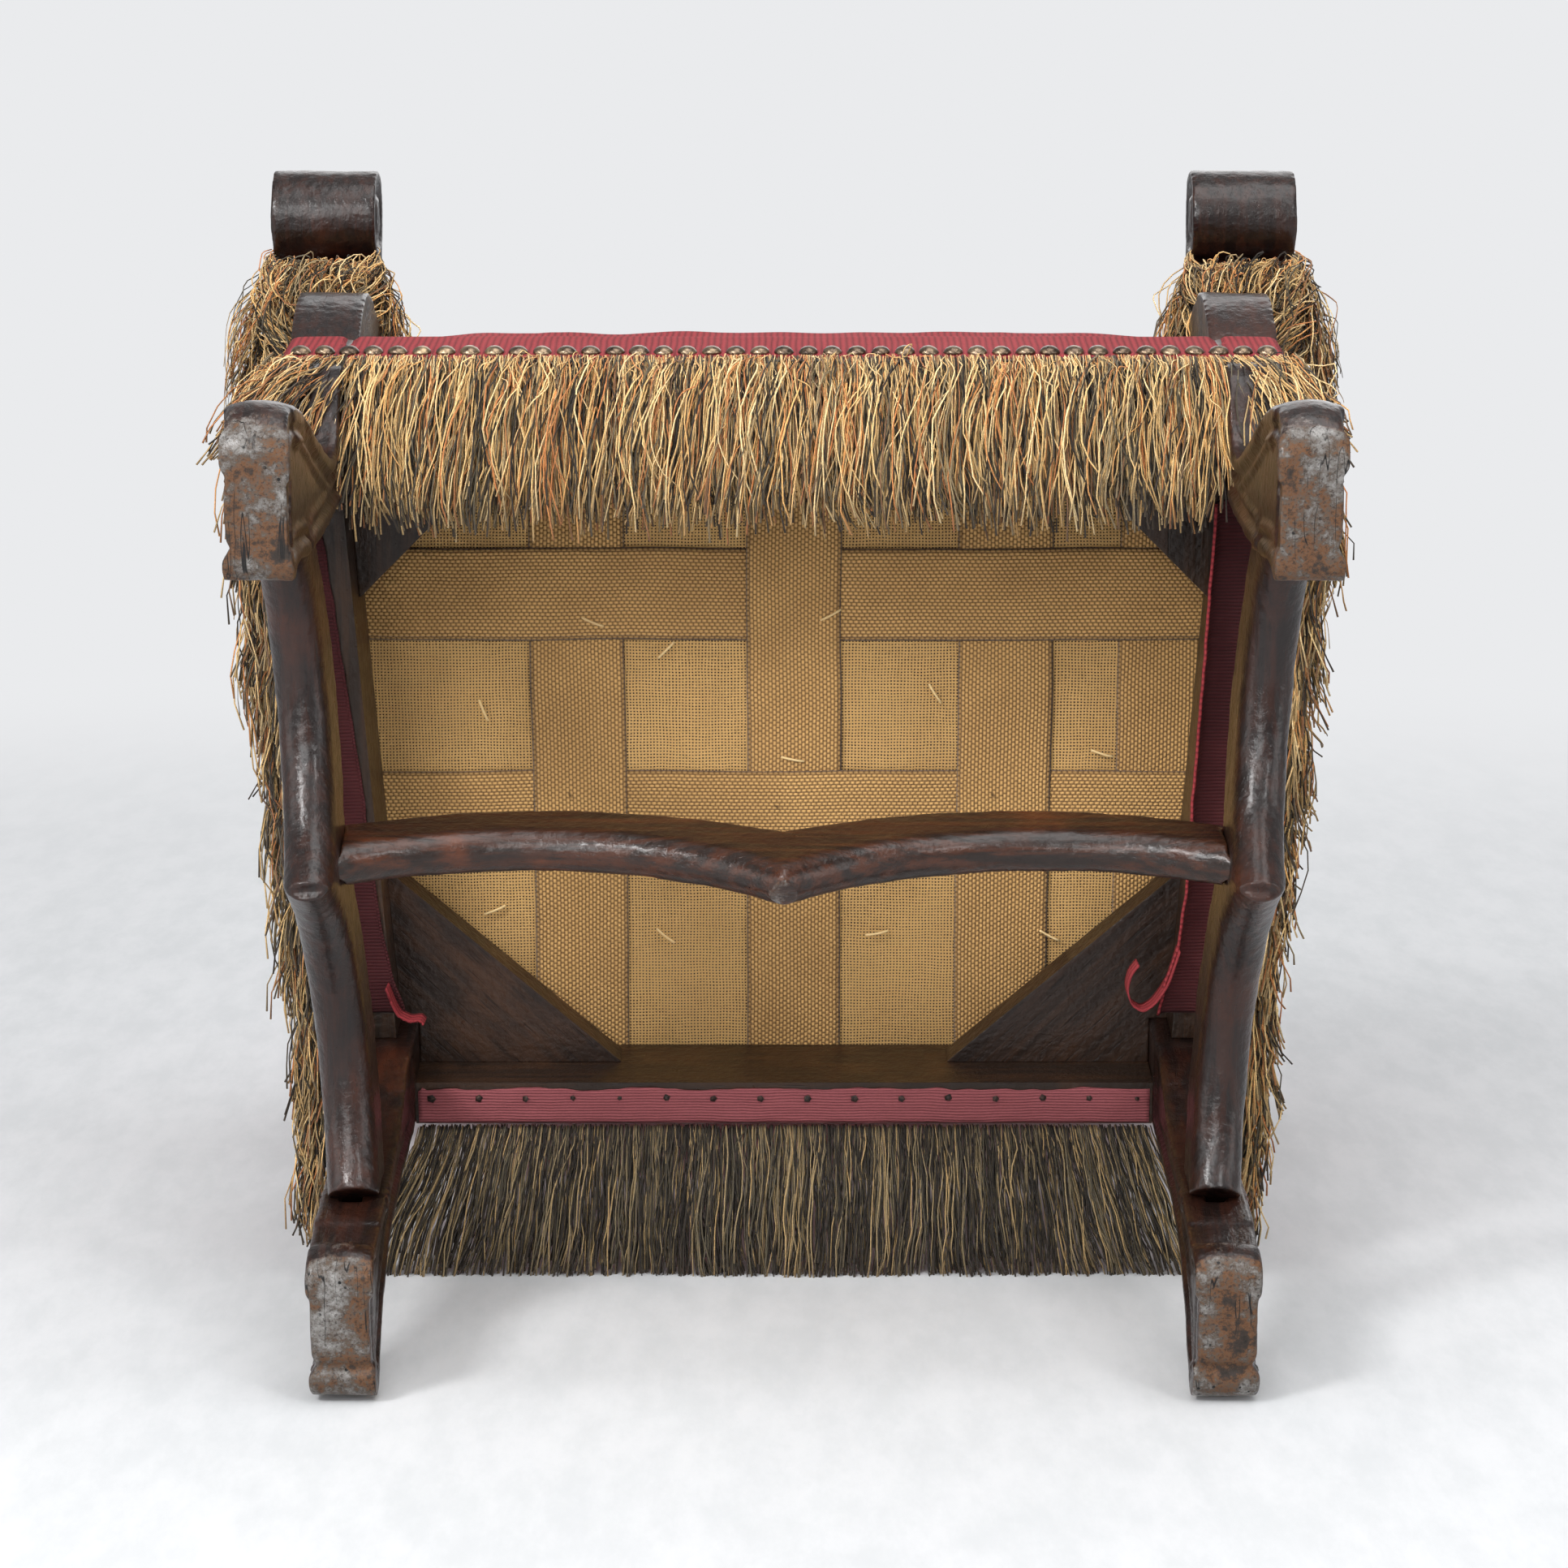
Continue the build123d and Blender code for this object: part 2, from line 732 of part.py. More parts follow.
with BuildPart() as front_fringe:
    with BuildSketch(side(0)):
        add(fringe_fall_outline(front_face - cloth, -1))
    extrude(amount=front_leg_x - leg_thick / 2 - 4, both=True)
    # in front of the legs it hangs straight
    with BuildSketch(side(0)) as header:
        with Locations((front_face - cloth - fringe_thick / 2, fringe_top - 10)):
            Rectangle(fringe_thick, 20)
    extrude(header.sketch, amount=front_leg_x + leg_thick / 2, both=True)
pieces["front_fringe"] = front_fringe.part

with BuildPart() as rear_fringe:
    with BuildSketch(side(0)):
        add(fringe_fall_outline(rear_face + cloth, 1))
    extrude(amount=post_inner - 4, both=True)
pieces["rear_fringe"] = rear_fringe.part


def side_fringe_plan(hand):
    turn_in = front_block_back + 8
    near = cloth
    far = cloth + fringe_thick
    block_x = front_leg_x + leg_thick / 2
    post_x = rear_leg_x + leg_thick / 2
    tail = rear_face + fringe_fall[0]
    line = [
        (block_x, front_face), (block_x, front_block_back), (rail_outer(turn_in), turn_in),
        (post_x, rear_block_front), (post_x, tail),
    ]
    ring = [(hand * (x + near), y) for x, y in line] + [(hand * (x + far), y) for x, y in reversed(line)]
    with BuildSketch() as outline:
        with BuildLine():
            Polyline(*ring, close=True)
        make_face()
    return outline.sketch


for hand, name in hands.items():
    top = fringe_top
    back, fall = fringe_fall
    with BuildPart() as side_fringe:
        with BuildSketch(side(0)):
            with BuildLine():
                Polyline(
                    (front_face, top), (rear_face - 4, top), (rear_face - 4 + back, top + fall),
                    (front_face + back, top + fall), close=True,
                )
            make_face()
        extrude(amount=400, both=True)
        with BuildSketch(level(200)):
            add(side_fringe_plan(hand))
        extrude(amount=200, mode=Mode.INTERSECT)
        add(front_legs[hand].part, mode=Mode.SUBTRACT)
    pieces[f"side_fringe_{name}"] = side_fringe.part


# ---------------------------------------------------------------- arm upholstery

def arm_slice(elevation, plan, hand):
    """What an outline from the side and an outline from above have in common."""
    with BuildPart() as body:
        with BuildSketch(side(0)):
            add(elevation)
        extrude(amount=450, both=True)
        with BuildSketch(level(450)):
            add(plan)
            if hand < 0:
                mirror(about=Plane.YZ, mode=Mode.REPLACE)
        extrude(amount=400, mode=Mode.INTERSECT)
    return body


def arm_fringe_elevation():
    back, fall = 0.8 * fringe_fall[0], 0.75 * fringe_fall[1]
    upper = [(y, arm_bottom(y) + 2.5) for y in (cover_start, -140, 0, 120, arm_cover_end)]
    lower = [(y + back, z + fall) for y, z in upper]
    with BuildSketch() as outline:
        with BuildLine():
            Polyline(*upper, *reversed(lower), close=True)
        make_face()
    return outline.sketch


def crowned(body, radius):
    """Round the two long upper edges of an arm's padding."""
    upper = body.faces().filter_by(lambda face: face.normal_at().Z > 0.8)[0]
    return body.part.fillet(radius, upper.edges().filter_by(lambda edge: edge.length > 200))


for hand, name in hands.items():
    with BuildPart() as arm_pad:
        add(crowned(arm_slice(arm_wrap_elevation(arm_pad_rise, 30), arm_plan(0), hand), crown_radius))
        add(arms[hand].part, mode=Mode.SUBTRACT)
    pieces[f"arm_pad_{name}"] = arm_pad.part

    wrap = arm_slice(arm_wrap_elevation(arm_pad_rise + cloth, 0), arm_plan(cloth), hand)
    wrapped = arm_slice(arm_wrap_elevation(arm_pad_rise, -5), arm_plan(0), hand)
    with BuildPart() as arm_cover:
        add(crowned(wrap, crown_radius + cloth))
        add(crowned(wrapped, crown_radius), mode=Mode.SUBTRACT)
    pieces[f"arm_cover_{name}"] = arm_cover.part

    planes = []
    for rim, edge in ((arm_outside, 1), (arm_inside, -1)):
        with BuildLine():
            line = ThreePointArc(*rim)
        count = round((arm_nail_end - cover_start) / nail_pitch)
        for i in range(count):
            share = (cover_start - rim[0][1] + (i + 0.5) * nail_pitch) / (rim[-1][1] - rim[0][1])
            at = line.position_at(share)
            along = line.tangent_at(share)
            out = Vector(edge * along.Y, -edge * along.X, 0)
            on_cloth = Vector(at.X, at.Y + mid_y, arm_bottom(at.Y) + nail_radius + 4.5) + out * (cloth + 0.1)
            planes.append(Plane(
                origin=(hand * on_cloth.X, on_cloth.Y, on_cloth.Z), z_dir=(hand * out.X, out.Y, 0),
            ))
    pieces[f"arm_nails_{name}"] = nail_row(planes)

    with BuildPart() as arm_fringe:
        add(arm_slice(arm_fringe_elevation(), arm_plan(cloth + fringe_thick, tail=90), hand).part)
        add(arm_slice(arm_fringe_elevation(), arm_plan(cloth, tail=100), hand).part, mode=Mode.SUBTRACT)
        add(pieces[f"arm_support_{name}"], mode=Mode.SUBTRACT)
        with BuildSketch(raked(-60)) as back_zone:
            with Locations((0, back_bottom + 100)):
                Rectangle(900, 400)
        extrude(back_zone.sketch, amount=60 + back_pad_front + 7, mode=Mode.SUBTRACT)
    pieces[f"arm_fringe_{name}"] = arm_fringe.part


# ---------------------------------------------------------------- back upholstery

back_half_width = rear_leg_x + leg_thick / 2
back_strip = post_half + strip_thick

with BuildPart() as back_webbing:
    with BuildSketch(raked(post_half)):
        with Locations((0, (back_bottom + post_length) / 2)):
            with GridLocations(150, 1, 3, 1):
                Rectangle(strip_width, post_length - back_bottom - 10)
    extrude(amount=strip_thick)
pieces["back_webbing_long"] = back_webbing.part

with BuildPart() as back_webbing_cross:
    with BuildSketch(raked(back_strip)):
        with Locations((0, (back_bottom + post_length) / 2)):
            with GridLocations(1, 190, 1, 2):
                Rectangle(2 * back_half_width - 20, strip_width)
    extrude(amount=strip_thick)
pieces["back_webbing_cross"] = back_webbing_cross.part

back_pad_rear = back_strip + strip_thick


def back_slab(rear, front, grow, radius):
    with BuildPart() as slab:
        with BuildSketch(raked(rear)):
            with Locations((0, (back_bottom + post_length) / 2)):
                Rectangle(2 * (back_half_width + grow), post_length - back_bottom + 2 * grow)
        extrude(amount=front - rear)
        forward = Axis((0, 0, 0), (0, -math.cos(rake), math.sin(rake)))
        fillet(slab.faces().sort_by(forward)[-1].edges(), radius=radius)
    return slab.part


# where the padded arms come through the padding of the back
slot_rise = arm_pad_rise + cloth + slot_gap
arm_slots = [
    arm_slice(arm_wrap_elevation(slot_rise, -slot_gap, arm_rear), arm_plan(cloth + slot_gap), hand).part
    for hand in hands
]

with BuildPart() as back_stuffing:
    add(back_slab(back_pad_rear, back_pad_front, -1, 20))
    for slot in arm_slots:
        add(slot, mode=Mode.SUBTRACT)
pieces["back_stuffing"] = back_stuffing.part

outside_cover_thick = 1.5
with BuildPart() as back_cover:
    add(back_slab(-post_half - outside_cover_thick, back_pad_front + 2 * cloth, cloth, 22))
    add(back_slab(-post_half - 20, back_pad_front + cloth, 0, 20), mode=Mode.SUBTRACT)
    for hand in hands:
        add(rear_legs[hand].part, mode=Mode.SUBTRACT)
    for slot in arm_slots:
        add(slot, mode=Mode.SUBTRACT)
pieces["back_cover"] = back_cover.part

with BuildPart() as outside_back_cover:
    with BuildSketch(raked(-post_half)):
        with Locations((0, (back_bottom + post_length) / 2)):
            Rectangle(2 * back_half_width, post_length - back_bottom)
    extrude(amount=-outside_cover_thick)
pieces["outside_back_cover"] = outside_back_cover.part

back_nail_planes = []
nail_depth = -post_half + 7
up_rake = Vector(0, math.sin(rake), math.cos(rake))
nail_base = raked(nail_depth).origin
for hand in hands:
    edge_x = Vector(hand * (back_half_width + cloth), 0, 0)
    low = nail_base + edge_x + up_rake * (back_bottom + 6)
    high = nail_base + edge_x + up_rake * (post_length - 6)
    back_nail_planes += nails_along(low, high, (hand, 0, 0))
top_left = nail_base + up_rake * (post_length + cloth) - Vector(back_half_width - 6, 0, 0)
top_right = nail_base + up_rake * (post_length + cloth) + Vector(back_half_width - 6, 0, 0)
back_nail_planes += nails_along(top_left, top_right, up_rake)
pieces["back_nails"] = nail_row(back_nail_planes)


# ---------------------------------------------------------------- pegs

peg_radius = 3.5
with BuildPart() as pegs:
    for hand in hands:
        for y, x in ((-208, front_leg_x), (230, rear_leg_x)):
            with Locations(Plane(origin=(hand * (x + leg_thick / 2), mid_y + y, 112), z_dir=(hand, 0, 0))):
                Cylinder(peg_radius, 1.5, align=(Align.CENTER, Align.CENTER, Align.MIN))
pieces["stretcher_pegs"] = pegs.part


os.makedirs("parts", exist_ok=True)
for name, piece in pieces.items():
    piece.label = name
    export_step(piece, f"parts/{name}.step")

box = Compound(children=list(pieces.values())).bounding_box()
print("lowest", box.min, "highest", box.max, "pieces", len(pieces))
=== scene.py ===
import bpy
import bmesh
import math
import numpy as np
from contextlib import contextmanager
from mathutils import Vector, Matrix, noise
from mathutils.kdtree import KDTree


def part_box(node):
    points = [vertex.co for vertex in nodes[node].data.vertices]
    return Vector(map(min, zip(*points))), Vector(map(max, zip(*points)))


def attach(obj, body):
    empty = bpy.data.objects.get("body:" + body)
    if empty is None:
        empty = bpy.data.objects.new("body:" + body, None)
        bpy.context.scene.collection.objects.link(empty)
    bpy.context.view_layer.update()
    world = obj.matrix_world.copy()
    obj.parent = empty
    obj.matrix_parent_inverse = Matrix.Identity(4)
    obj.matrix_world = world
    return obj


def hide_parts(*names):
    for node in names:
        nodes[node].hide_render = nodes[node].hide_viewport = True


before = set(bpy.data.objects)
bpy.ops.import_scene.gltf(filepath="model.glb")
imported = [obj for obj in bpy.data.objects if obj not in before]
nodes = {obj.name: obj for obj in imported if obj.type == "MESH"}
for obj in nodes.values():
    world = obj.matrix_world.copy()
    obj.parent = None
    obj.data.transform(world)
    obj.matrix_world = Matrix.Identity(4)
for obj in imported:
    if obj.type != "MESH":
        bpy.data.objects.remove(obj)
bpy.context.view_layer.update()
scene = bpy.context.scene
midY = -0.0529  # lengths along Y are counted from the cross stretcher, as in the CAD
hands = {"left": -1, "right": 1}
print("frame loaded:", len(nodes), "nodes")


def readVectors(data, key):
    flat = np.empty(len(data) * 3, np.float32)
    data.foreach_get(key, flat)
    return flat.reshape(-1, 3).astype(float)


def readPoints(mesh):
    return readVectors(mesh.vertices, "co")


def readNormals(mesh):
    return readVectors(mesh.vertex_normals, "vector")


def writePoints(mesh, points):
    mesh.vertices.foreach_set("co", np.asarray(points, np.float32).ravel())
    mesh.update()


def setAttribute(mesh, name, values):
    values = np.asarray(values, np.float32)
    kind, key = ("FLOAT_VECTOR", "vector") if values.ndim == 2 else ("FLOAT", "value")
    mesh.attributes.new(name, kind, "POINT").data.foreach_set(key, values.ravel())


def setPlaces(mesh, places):
    layer = mesh.uv_layers.new(name="UVMap")
    for loop in mesh.loops:
        layer.data[loop.index].uv = places[loop.vertex_index]


def addObject(name, data):
    obj = bpy.data.objects.new(name, data)
    scene.collection.objects.link(obj)
    return obj


def meshObject(name, points, faces=(), edges=()):
    mesh = bpy.data.meshes.new(name)
    mesh.from_pydata([tuple(p) for p in points], list(edges), list(faces))
    mesh.update()
    return addObject(name, mesh)


@contextmanager
def meshWork(mesh, *parts):
    bm = bmesh.new()
    for part in parts:
        bm.from_mesh(part)
    yield bm
    bm.to_mesh(mesh)
    bm.free()


def mergedCopy(name, nodeName):
    mesh = bpy.data.meshes.new(name)
    with meshWork(mesh, nodes[nodeName].data) as bm:
        bmesh.ops.remove_doubles(bm, verts=bm.verts, dist=1e-5)
    for key in [a.name for a in mesh.attributes if a.name.startswith("custom")]:
        mesh.attributes.remove(mesh.attributes[key])
    return addObject(name, mesh)


def joined(name, *objs):
    mesh = bpy.data.meshes.new(name)
    with meshWork(mesh, *(obj.data for obj in objs)):
        for obj in objs:
            bpy.data.objects.remove(obj)
    return addObject(name, mesh)


def applied(obj):
    graph = bpy.context.evaluated_depsgraph_get()
    made = bpy.data.meshes.new_from_object(obj.evaluated_get(graph), depsgraph=graph)
    obj.modifiers.clear()
    old = obj.data
    obj.data = made
    bpy.data.meshes.remove(old)
    made.name = obj.name
    return obj


def modified(obj, **steps):
    for kind, settings in steps.items():
        step = obj.modifiers.new(kind, kind.upper())
        for key, value in settings.items():
            setattr(step, key, value)
    return applied(obj)


def remeshed(obj, size, rounds):
    return modified(obj, remesh={"mode": "VOXEL", "voxel_size": size}, smooth={"iterations": rounds})


def subdivided(obj):
    return modified(obj, subsurf={"levels": 1, "render_levels": 1})


def thickened(obj, thickness, offset=0):
    return modified(obj, solidify={"thickness": thickness, "offset": offset})


def finishPiece(obj, slotName, material, *replaced):
    obj.data.materials.clear()
    obj.data.materials.append(material)
    obj.data.polygons.foreach_set("use_smooth", np.ones(len(obj.data.polygons), bool))
    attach(obj, "root")
    if replaced:
        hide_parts(*replaced)
    return obj


def gridShares(columns, rows):
    return [(i / (columns - 1), j / (rows - 1)) for j in range(rows) for i in range(columns)]


def gridFaces(columns, rows):
    return [(a, a + columns, a + columns + 1, a + 1)
            for a in (j * columns + i for j in range(rows - 1) for i in range(columns - 1))]


def ringFaces(count, rows):
    sides = [(i, (i + 1) % count) for i in range(count)]
    starts = range(0, (rows - 1) * count, count)
    faces = [(a + i, a + k, a + count + k, a + count + i) for a in starts for i, k in sides]
    return faces + [tuple(range(count))[::-1], tuple(range((rows - 1) * count, rows * count))]


def smoothStep(low, high, value):
    share = np.clip((value - low) / (high - low), 0, 1)
    return share * share * (3 - 2 * share)


def throughThree(points, y):
    (xa, ya), (xb, yb), (xc, yc) = points  # the quadratic through three points, x from y
    return (xa * (y - yb) * (y - yc) / ((ya - yb) * (ya - yc))
            + xb * (y - ya) * (y - yc) / ((yb - ya) * (yb - yc))
            + xc * (y - ya) * (y - yb) / ((yc - ya) * (yc - yb)))


def uneven(*place):
    return noise.noise(Vector(place))


def neighbourMean(mesh, values):
    pairs = np.empty(len(mesh.edges) * 2, np.int32)
    mesh.edges.foreach_get("vertices", pairs)
    a, b = pairs[::2], pairs[1::2]
    total = len(mesh.vertices)
    count = np.bincount(a, minlength=total) + np.bincount(b, minlength=total)
    sums = [np.bincount(a, c[b], total) + np.bincount(b, c[a], total) for c in values.reshape(total, -1).T]
    return (np.stack(sums, 1) / np.maximum(count, 1)[:, None]).reshape(values.shape)


def wavered(points, normals, amount, scale, seed=0.0):
    shift = Vector((seed, seed * 0.7, -seed))
    swell = np.array([noise.noise(Vector(p) * scale + shift) for p in points])
    return points + normals * (swell * amount)[:, None]


class Wire:  # a node's output, that sums are written with
    def __init__(self, wiring, socket):
        self.wiring, self.socket = wiring, socket

    def worked(self, operation, *values):
        vectors = self.socket.type in ("VECTOR", "RGBA")
        return (self.wiring.vector if vectors else self.wiring.math)(operation, *values)

    def scaled(self, amount):
        return self.wiring.vector("SCALE", self, Scale=amount)

    def __abs__(self):
        return self.worked("ABSOLUTE", self)


for sign, operation in {"add": "ADD", "sub": "SUBTRACT", "mul": "MULTIPLY", "truediv": "DIVIDE",
                        "pow": "POWER", "mod": "MODULO"}.items():
    setattr(Wire, f"__{sign}__", lambda a, b, operation=operation: a.worked(operation, a, b))
    setattr(Wire, f"__r{sign}__", lambda a, b, operation=operation: a.worked(operation, b, a))


class Wiring:
    def __init__(self, tree):
        self.tree = tree

    def fill(self, node, sockets):
        for key, value in sockets.items():
            if isinstance(value, Wire):
                self.tree.links.new(value.socket, node.inputs[key])
            else:
                node.inputs[key].default_value = value

    def add(self, kind, sockets=None, **settings):
        made = self.tree.nodes.new(kind)
        for key, value in settings.items():
            setattr(made, key, value)
        self.fill(made, sockets or {})
        return made

    def out(self, kind, sockets=None, out=0, **settings):
        return Wire(self, self.add(kind, sockets, **settings).outputs[out])

    def outputs(self, kind, sockets=None, **settings):
        return {socket.name: Wire(self, socket) for socket in self.add(kind, sockets, **settings).outputs}

    def finish(self, **sockets):
        self.fill(self.add("NodeGroupOutput"), sockets)
        return self.tree

    def math(self, operation, *values, clamp=False):
        return self.out("ShaderNodeMath", dict(enumerate(values)), operation=operation, use_clamp=clamp)

    def vector(self, operation, *values, out=0, **sockets):
        sockets.update(enumerate(values))
        return self.out("ShaderNodeVectorMath", sockets, out, operation=operation)

    def cloud(self, place, scale, detail=3.0, roughness=0.55, out="Fac"):
        sockets = {"Vector": place, "Scale": scale, "Detail": detail, "Roughness": roughness}
        return self.out("ShaderNodeTexNoise", sockets, out)

    def sway(self, place, scale, detail, roughness=0.55):
        return self.cloud(place, scale, detail, roughness, "Color") - (0.5, 0.5, 0.5)

    def band(self, value, low, high):
        sockets = {"Value": value, "From Min": low, "From Max": high}
        return self.out("ShaderNodeMapRange", sockets, interpolation_type="SMOOTHSTEP")

    def mix(self, share, a, b):
        return self.out("ShaderNodeMix", {0: share, 6: a, 7: b}, 2, data_type="RGBA")

    def ramp(self, value, stops):
        made = self.add("ShaderNodeValToRGB", {0: value})
        elements = made.color_ramp.elements
        while len(elements) < len(stops):
            elements.new(0.5)
        for element, (place, *color) in zip(elements, stops):
            element.position = place
            element.color = shade(*color)
        return Wire(self, made.outputs[0])

    def place(self, out="Object"):
        return self.out("ShaderNodeTexCoord", out=out)

    def attribute(self, name):
        return self.out("ShaderNodeAttribute", out="Fac", attribute_name=name)

    def named(self, label, kind="FLOAT_VECTOR"):
        return self.out("GeometryNodeInputNamedAttribute", {"Name": label}, "Attribute", data_type=kind)

    def random(self, low, high, seed):
        return self.out("FunctionNodeRandomValue", {2: low, 3: high, "Seed": seed}, 1, data_type="FLOAT")

    def bump(self, height, strength, distance):
        return self.out("ShaderNodeBump", {"Height": height, "Strength": strength, "Distance": distance})

    def dressed(self, geometry, material):
        single = self.out("GeometryNodeRealizeInstances", {"Geometry": geometry})
        return self.out("GeometryNodeSetMaterial", {"Geometry": single, "Material": material})


def newGroup(name, inputs, outputs, treeKind="ShaderNodeTree"):  # each kind of socket with its labels
    tree = bpy.data.node_groups.new(name, treeKind)
    for direction, sockets in (("INPUT", inputs), ("OUTPUT", outputs)):
        for kind, labels in sockets.items():
            for label in labels.split():
                tree.interface.new_socket(name=label, in_out=direction, socket_type=f"NodeSocket{kind}")
    wires = Wiring(tree)
    return wires, wires.outputs("NodeGroupInput"), wires.cloud, wires.band, wires.mix


def shade(red, green, blue):
    parts = (part / 255 for part in (red, green, blue))
    return (*(c / 12.92 if c < 0.04045 else ((c + 0.055) / 1.055) ** 2.4 for c in parts), 1)


def newMaterial(name):
    material = bpy.data.materials.new(name)
    material.use_nodes = True
    tree = material.node_tree
    return material, Wiring(tree), tree.nodes["Principled BSDF"]


def groupMaterial(name, group, inputs, relief, finish):
    material, wires, shader = newMaterial(name)
    look = wires.outputs("ShaderNodeGroup", inputs(wires), node_tree=group)
    wires.fill(shader, {"Base Color": look["Color"], "Normal": wires.bump(look["Height"], *relief), **finish})
    if "Roughness" in look:
        wires.fill(shader, {"Roughness": look["Roughness"]})
    return material


def agedWoodGroup():
    wires, source, cloud, band, mix = newGroup(
        "agedWood", {"Vector": "Grain Place", "Color": "Dark Warm Bare", "Float": "Wear Scuff"},
        {"Color": "Color", "Float": "Roughness Height"})
    grain, place = source["Grain"], source["Place"]
    streaks = band(cloud(grain, 1.0, 6.0, 0.62), 0.40, 0.64)
    pores = band(cloud(grain, 4.5, 3.0, 0.6), 0.56, 0.70)
    patches = band(cloud(place, 11.0, 4.0, 0.6), 0.50, 0.66)
    speckle = cloud(place, 420.0, 3.0, 0.7)
    color = mix(streaks * 0.34 + patches * 0.42, source["Dark"], source["Warm"])
    color = mix(pores * 0.6, color, shade(14, 9, 7))
    ragged = (cloud(place, 70.0, 5.0, 0.7) - 0.5) * 1.5
    bareMask = band(source["Wear"] + ragged, 0.45, 1.05)
    bareColor = mix(band(speckle, 0.4, 0.6), source["Bare"], shade(70, 42, 28))
    color = mix(bareMask * 0.55, color, bareColor)
    scuffMask = band(source["Scuff"] + ragged, 0.30, 0.62)
    dirt = wires.ramp(cloud(place, 30.0, 6.0, 0.75), [
        (0.30, 22, 18, 15), (0.40, 48, 38, 31), (0.46, 94, 62, 36), (0.52, 76, 66, 58), (0.60, 112, 109, 106),
        (0.72, 158, 156, 153)])
    dirt = mix(band(speckle, 0.52, 0.66) * 0.75, dirt, shade(40, 31, 26))
    cell = wires.out("ShaderNodeTexVoronoi", {"Vector": place, "Scale": 150.0}, "Distance")
    holes = band(cell, 0.20, 0.12) * band(cloud(place, 60.0), 0.55, 0.60)
    cracks = band(abs(cloud(place * (95.0, 9.0, 40.0), 1.0, 2.0) - 0.5), 0.012, 0.004)
    gaps = wires.math("MAXIMUM", holes, cracks * band(cloud(place, 23.0), 0.5, 0.56))
    dirt = mix(gaps, dirt, shade(12, 9, 8))
    rough = 0.17 + cloud(place, 90.0, 4.0, 0.7) * 0.32 + bareMask * 0.12
    chatter = cloud(place, 210.0, 2.0, 0.5)  # the skin of the old wax
    height = streaks * 0.25 - pores * 0.4 + chatter * 2.6 - gaps * scuffMask * 3.0 + speckle * scuffMask
    rough = wires.math("ADD", rough, scuffMask * 0.38, clamp=True)
    return wires.finish(Color=mix(scuffMask, color, dirt), Roughness=rough, Height=height)


woodLook = {
    "dark": shade(22, 13, 11), "warm": shade(64, 32, 19), "bare": shade(120, 70, 34),
    "alongGrain": 7.0, "acrossGrain": 150.0, "coat": 0.2, "relief": 0.0006, "turn": 0.0,
}
agedWood = agedWoodGroup()


def woodMaterial(name, axis, **changes):
    look = {**woodLook, **changes}
    scale = [look["alongGrain" if letter == axis else "acrossGrain"] for letter in "XYZ"]

    def inputs(wires):
        turned = wires.out("ShaderNodeMapping", {"Vector": wires.place(), "Rotation": (0, 0, look["turn"])})
        grain = wires.out("ShaderNodeMapping", {"Vector": turned, "Scale": scale})
        return {"Grain": grain, "Place": wires.place(), "Wear": wires.attribute("wear"),
                "Scuff": wires.attribute("scuff"), "Dark": look["dark"], "Warm": look["warm"],
                "Bare": look["bare"]}

    return groupMaterial(name, agedWood, inputs, (0.5, look["relief"]),
                         {"Coat Weight": look["coat"], "Coat Roughness": 0.2, "Specular IOR Level": 0.32})


waxedLegWood = woodMaterial("waxedLegWood", "Z")
waxedLongWood = woodMaterial("waxedLongWood", "Y")
waxedCrossWood = woodMaterial("waxedCrossWood", "X", warm=shade(98, 50, 25), dark=shade(31, 20, 15))
plainLook = {"dark": shade(38, 27, 20), "warm": shade(78, 51, 32), "coat": 0.0}
plainRailWood = woodMaterial("plainRailWood", "X", **plainLook)
plainSideWood = woodMaterial("plainSideWood", "Y", **plainLook)
blockLook = {"dark": shade(34, 24, 19), "warm": shade(70, 46, 31), "coat": 0.0}
blockWood = {side: woodMaterial(f"blockWood.{side}", "X", turn=math.radians(45 * hand), **blockLook)
             for side, hand in hands.items()}


def wearOf(mesh, size):
    points, normals = readPoints(mesh), readNormals(mesh)
    hollow = ((neighbourMean(mesh, points) - points) * normals).sum(1)
    edges = np.clip(-hollow / (0.16 * size), 0, 1.5)
    for _ in range(3):
        edges = neighbourMean(mesh, edges)
    return np.clip(edges, 0, 1)


def carvedPiece(name, nodeName, size, material, carve=None, scuff=None, hand=0, waver=0.0007):
    obj = remeshed(mergedCopy(name, nodeName), size, 3)
    mesh = obj.data
    points, normals = readPoints(mesh), readNormals(mesh)
    if carve:
        points = carve(points, normals, hand)
        writePoints(mesh, points)
        points = 0.5 * points + 0.5 * neighbourMean(mesh, points)
        writePoints(mesh, points)
        normals = readNormals(mesh)
    points = wavered(points, normals, waver, 38.0, len(name))
    points = wavered(points, normals, waver * 0.35, 150.0, len(name) + 3.0)
    writePoints(mesh, points)
    scuffed = scuff(points, readNormals(mesh)) if scuff else np.zeros(len(points))
    setAttribute(mesh, "wear", np.maximum(wearOf(mesh, size), 1.6 * scuffed))  # raw wood around the dirt
    setAttribute(mesh, "scuff", scuffed)
    return finishPiece(obj, "wood", material, nodeName)


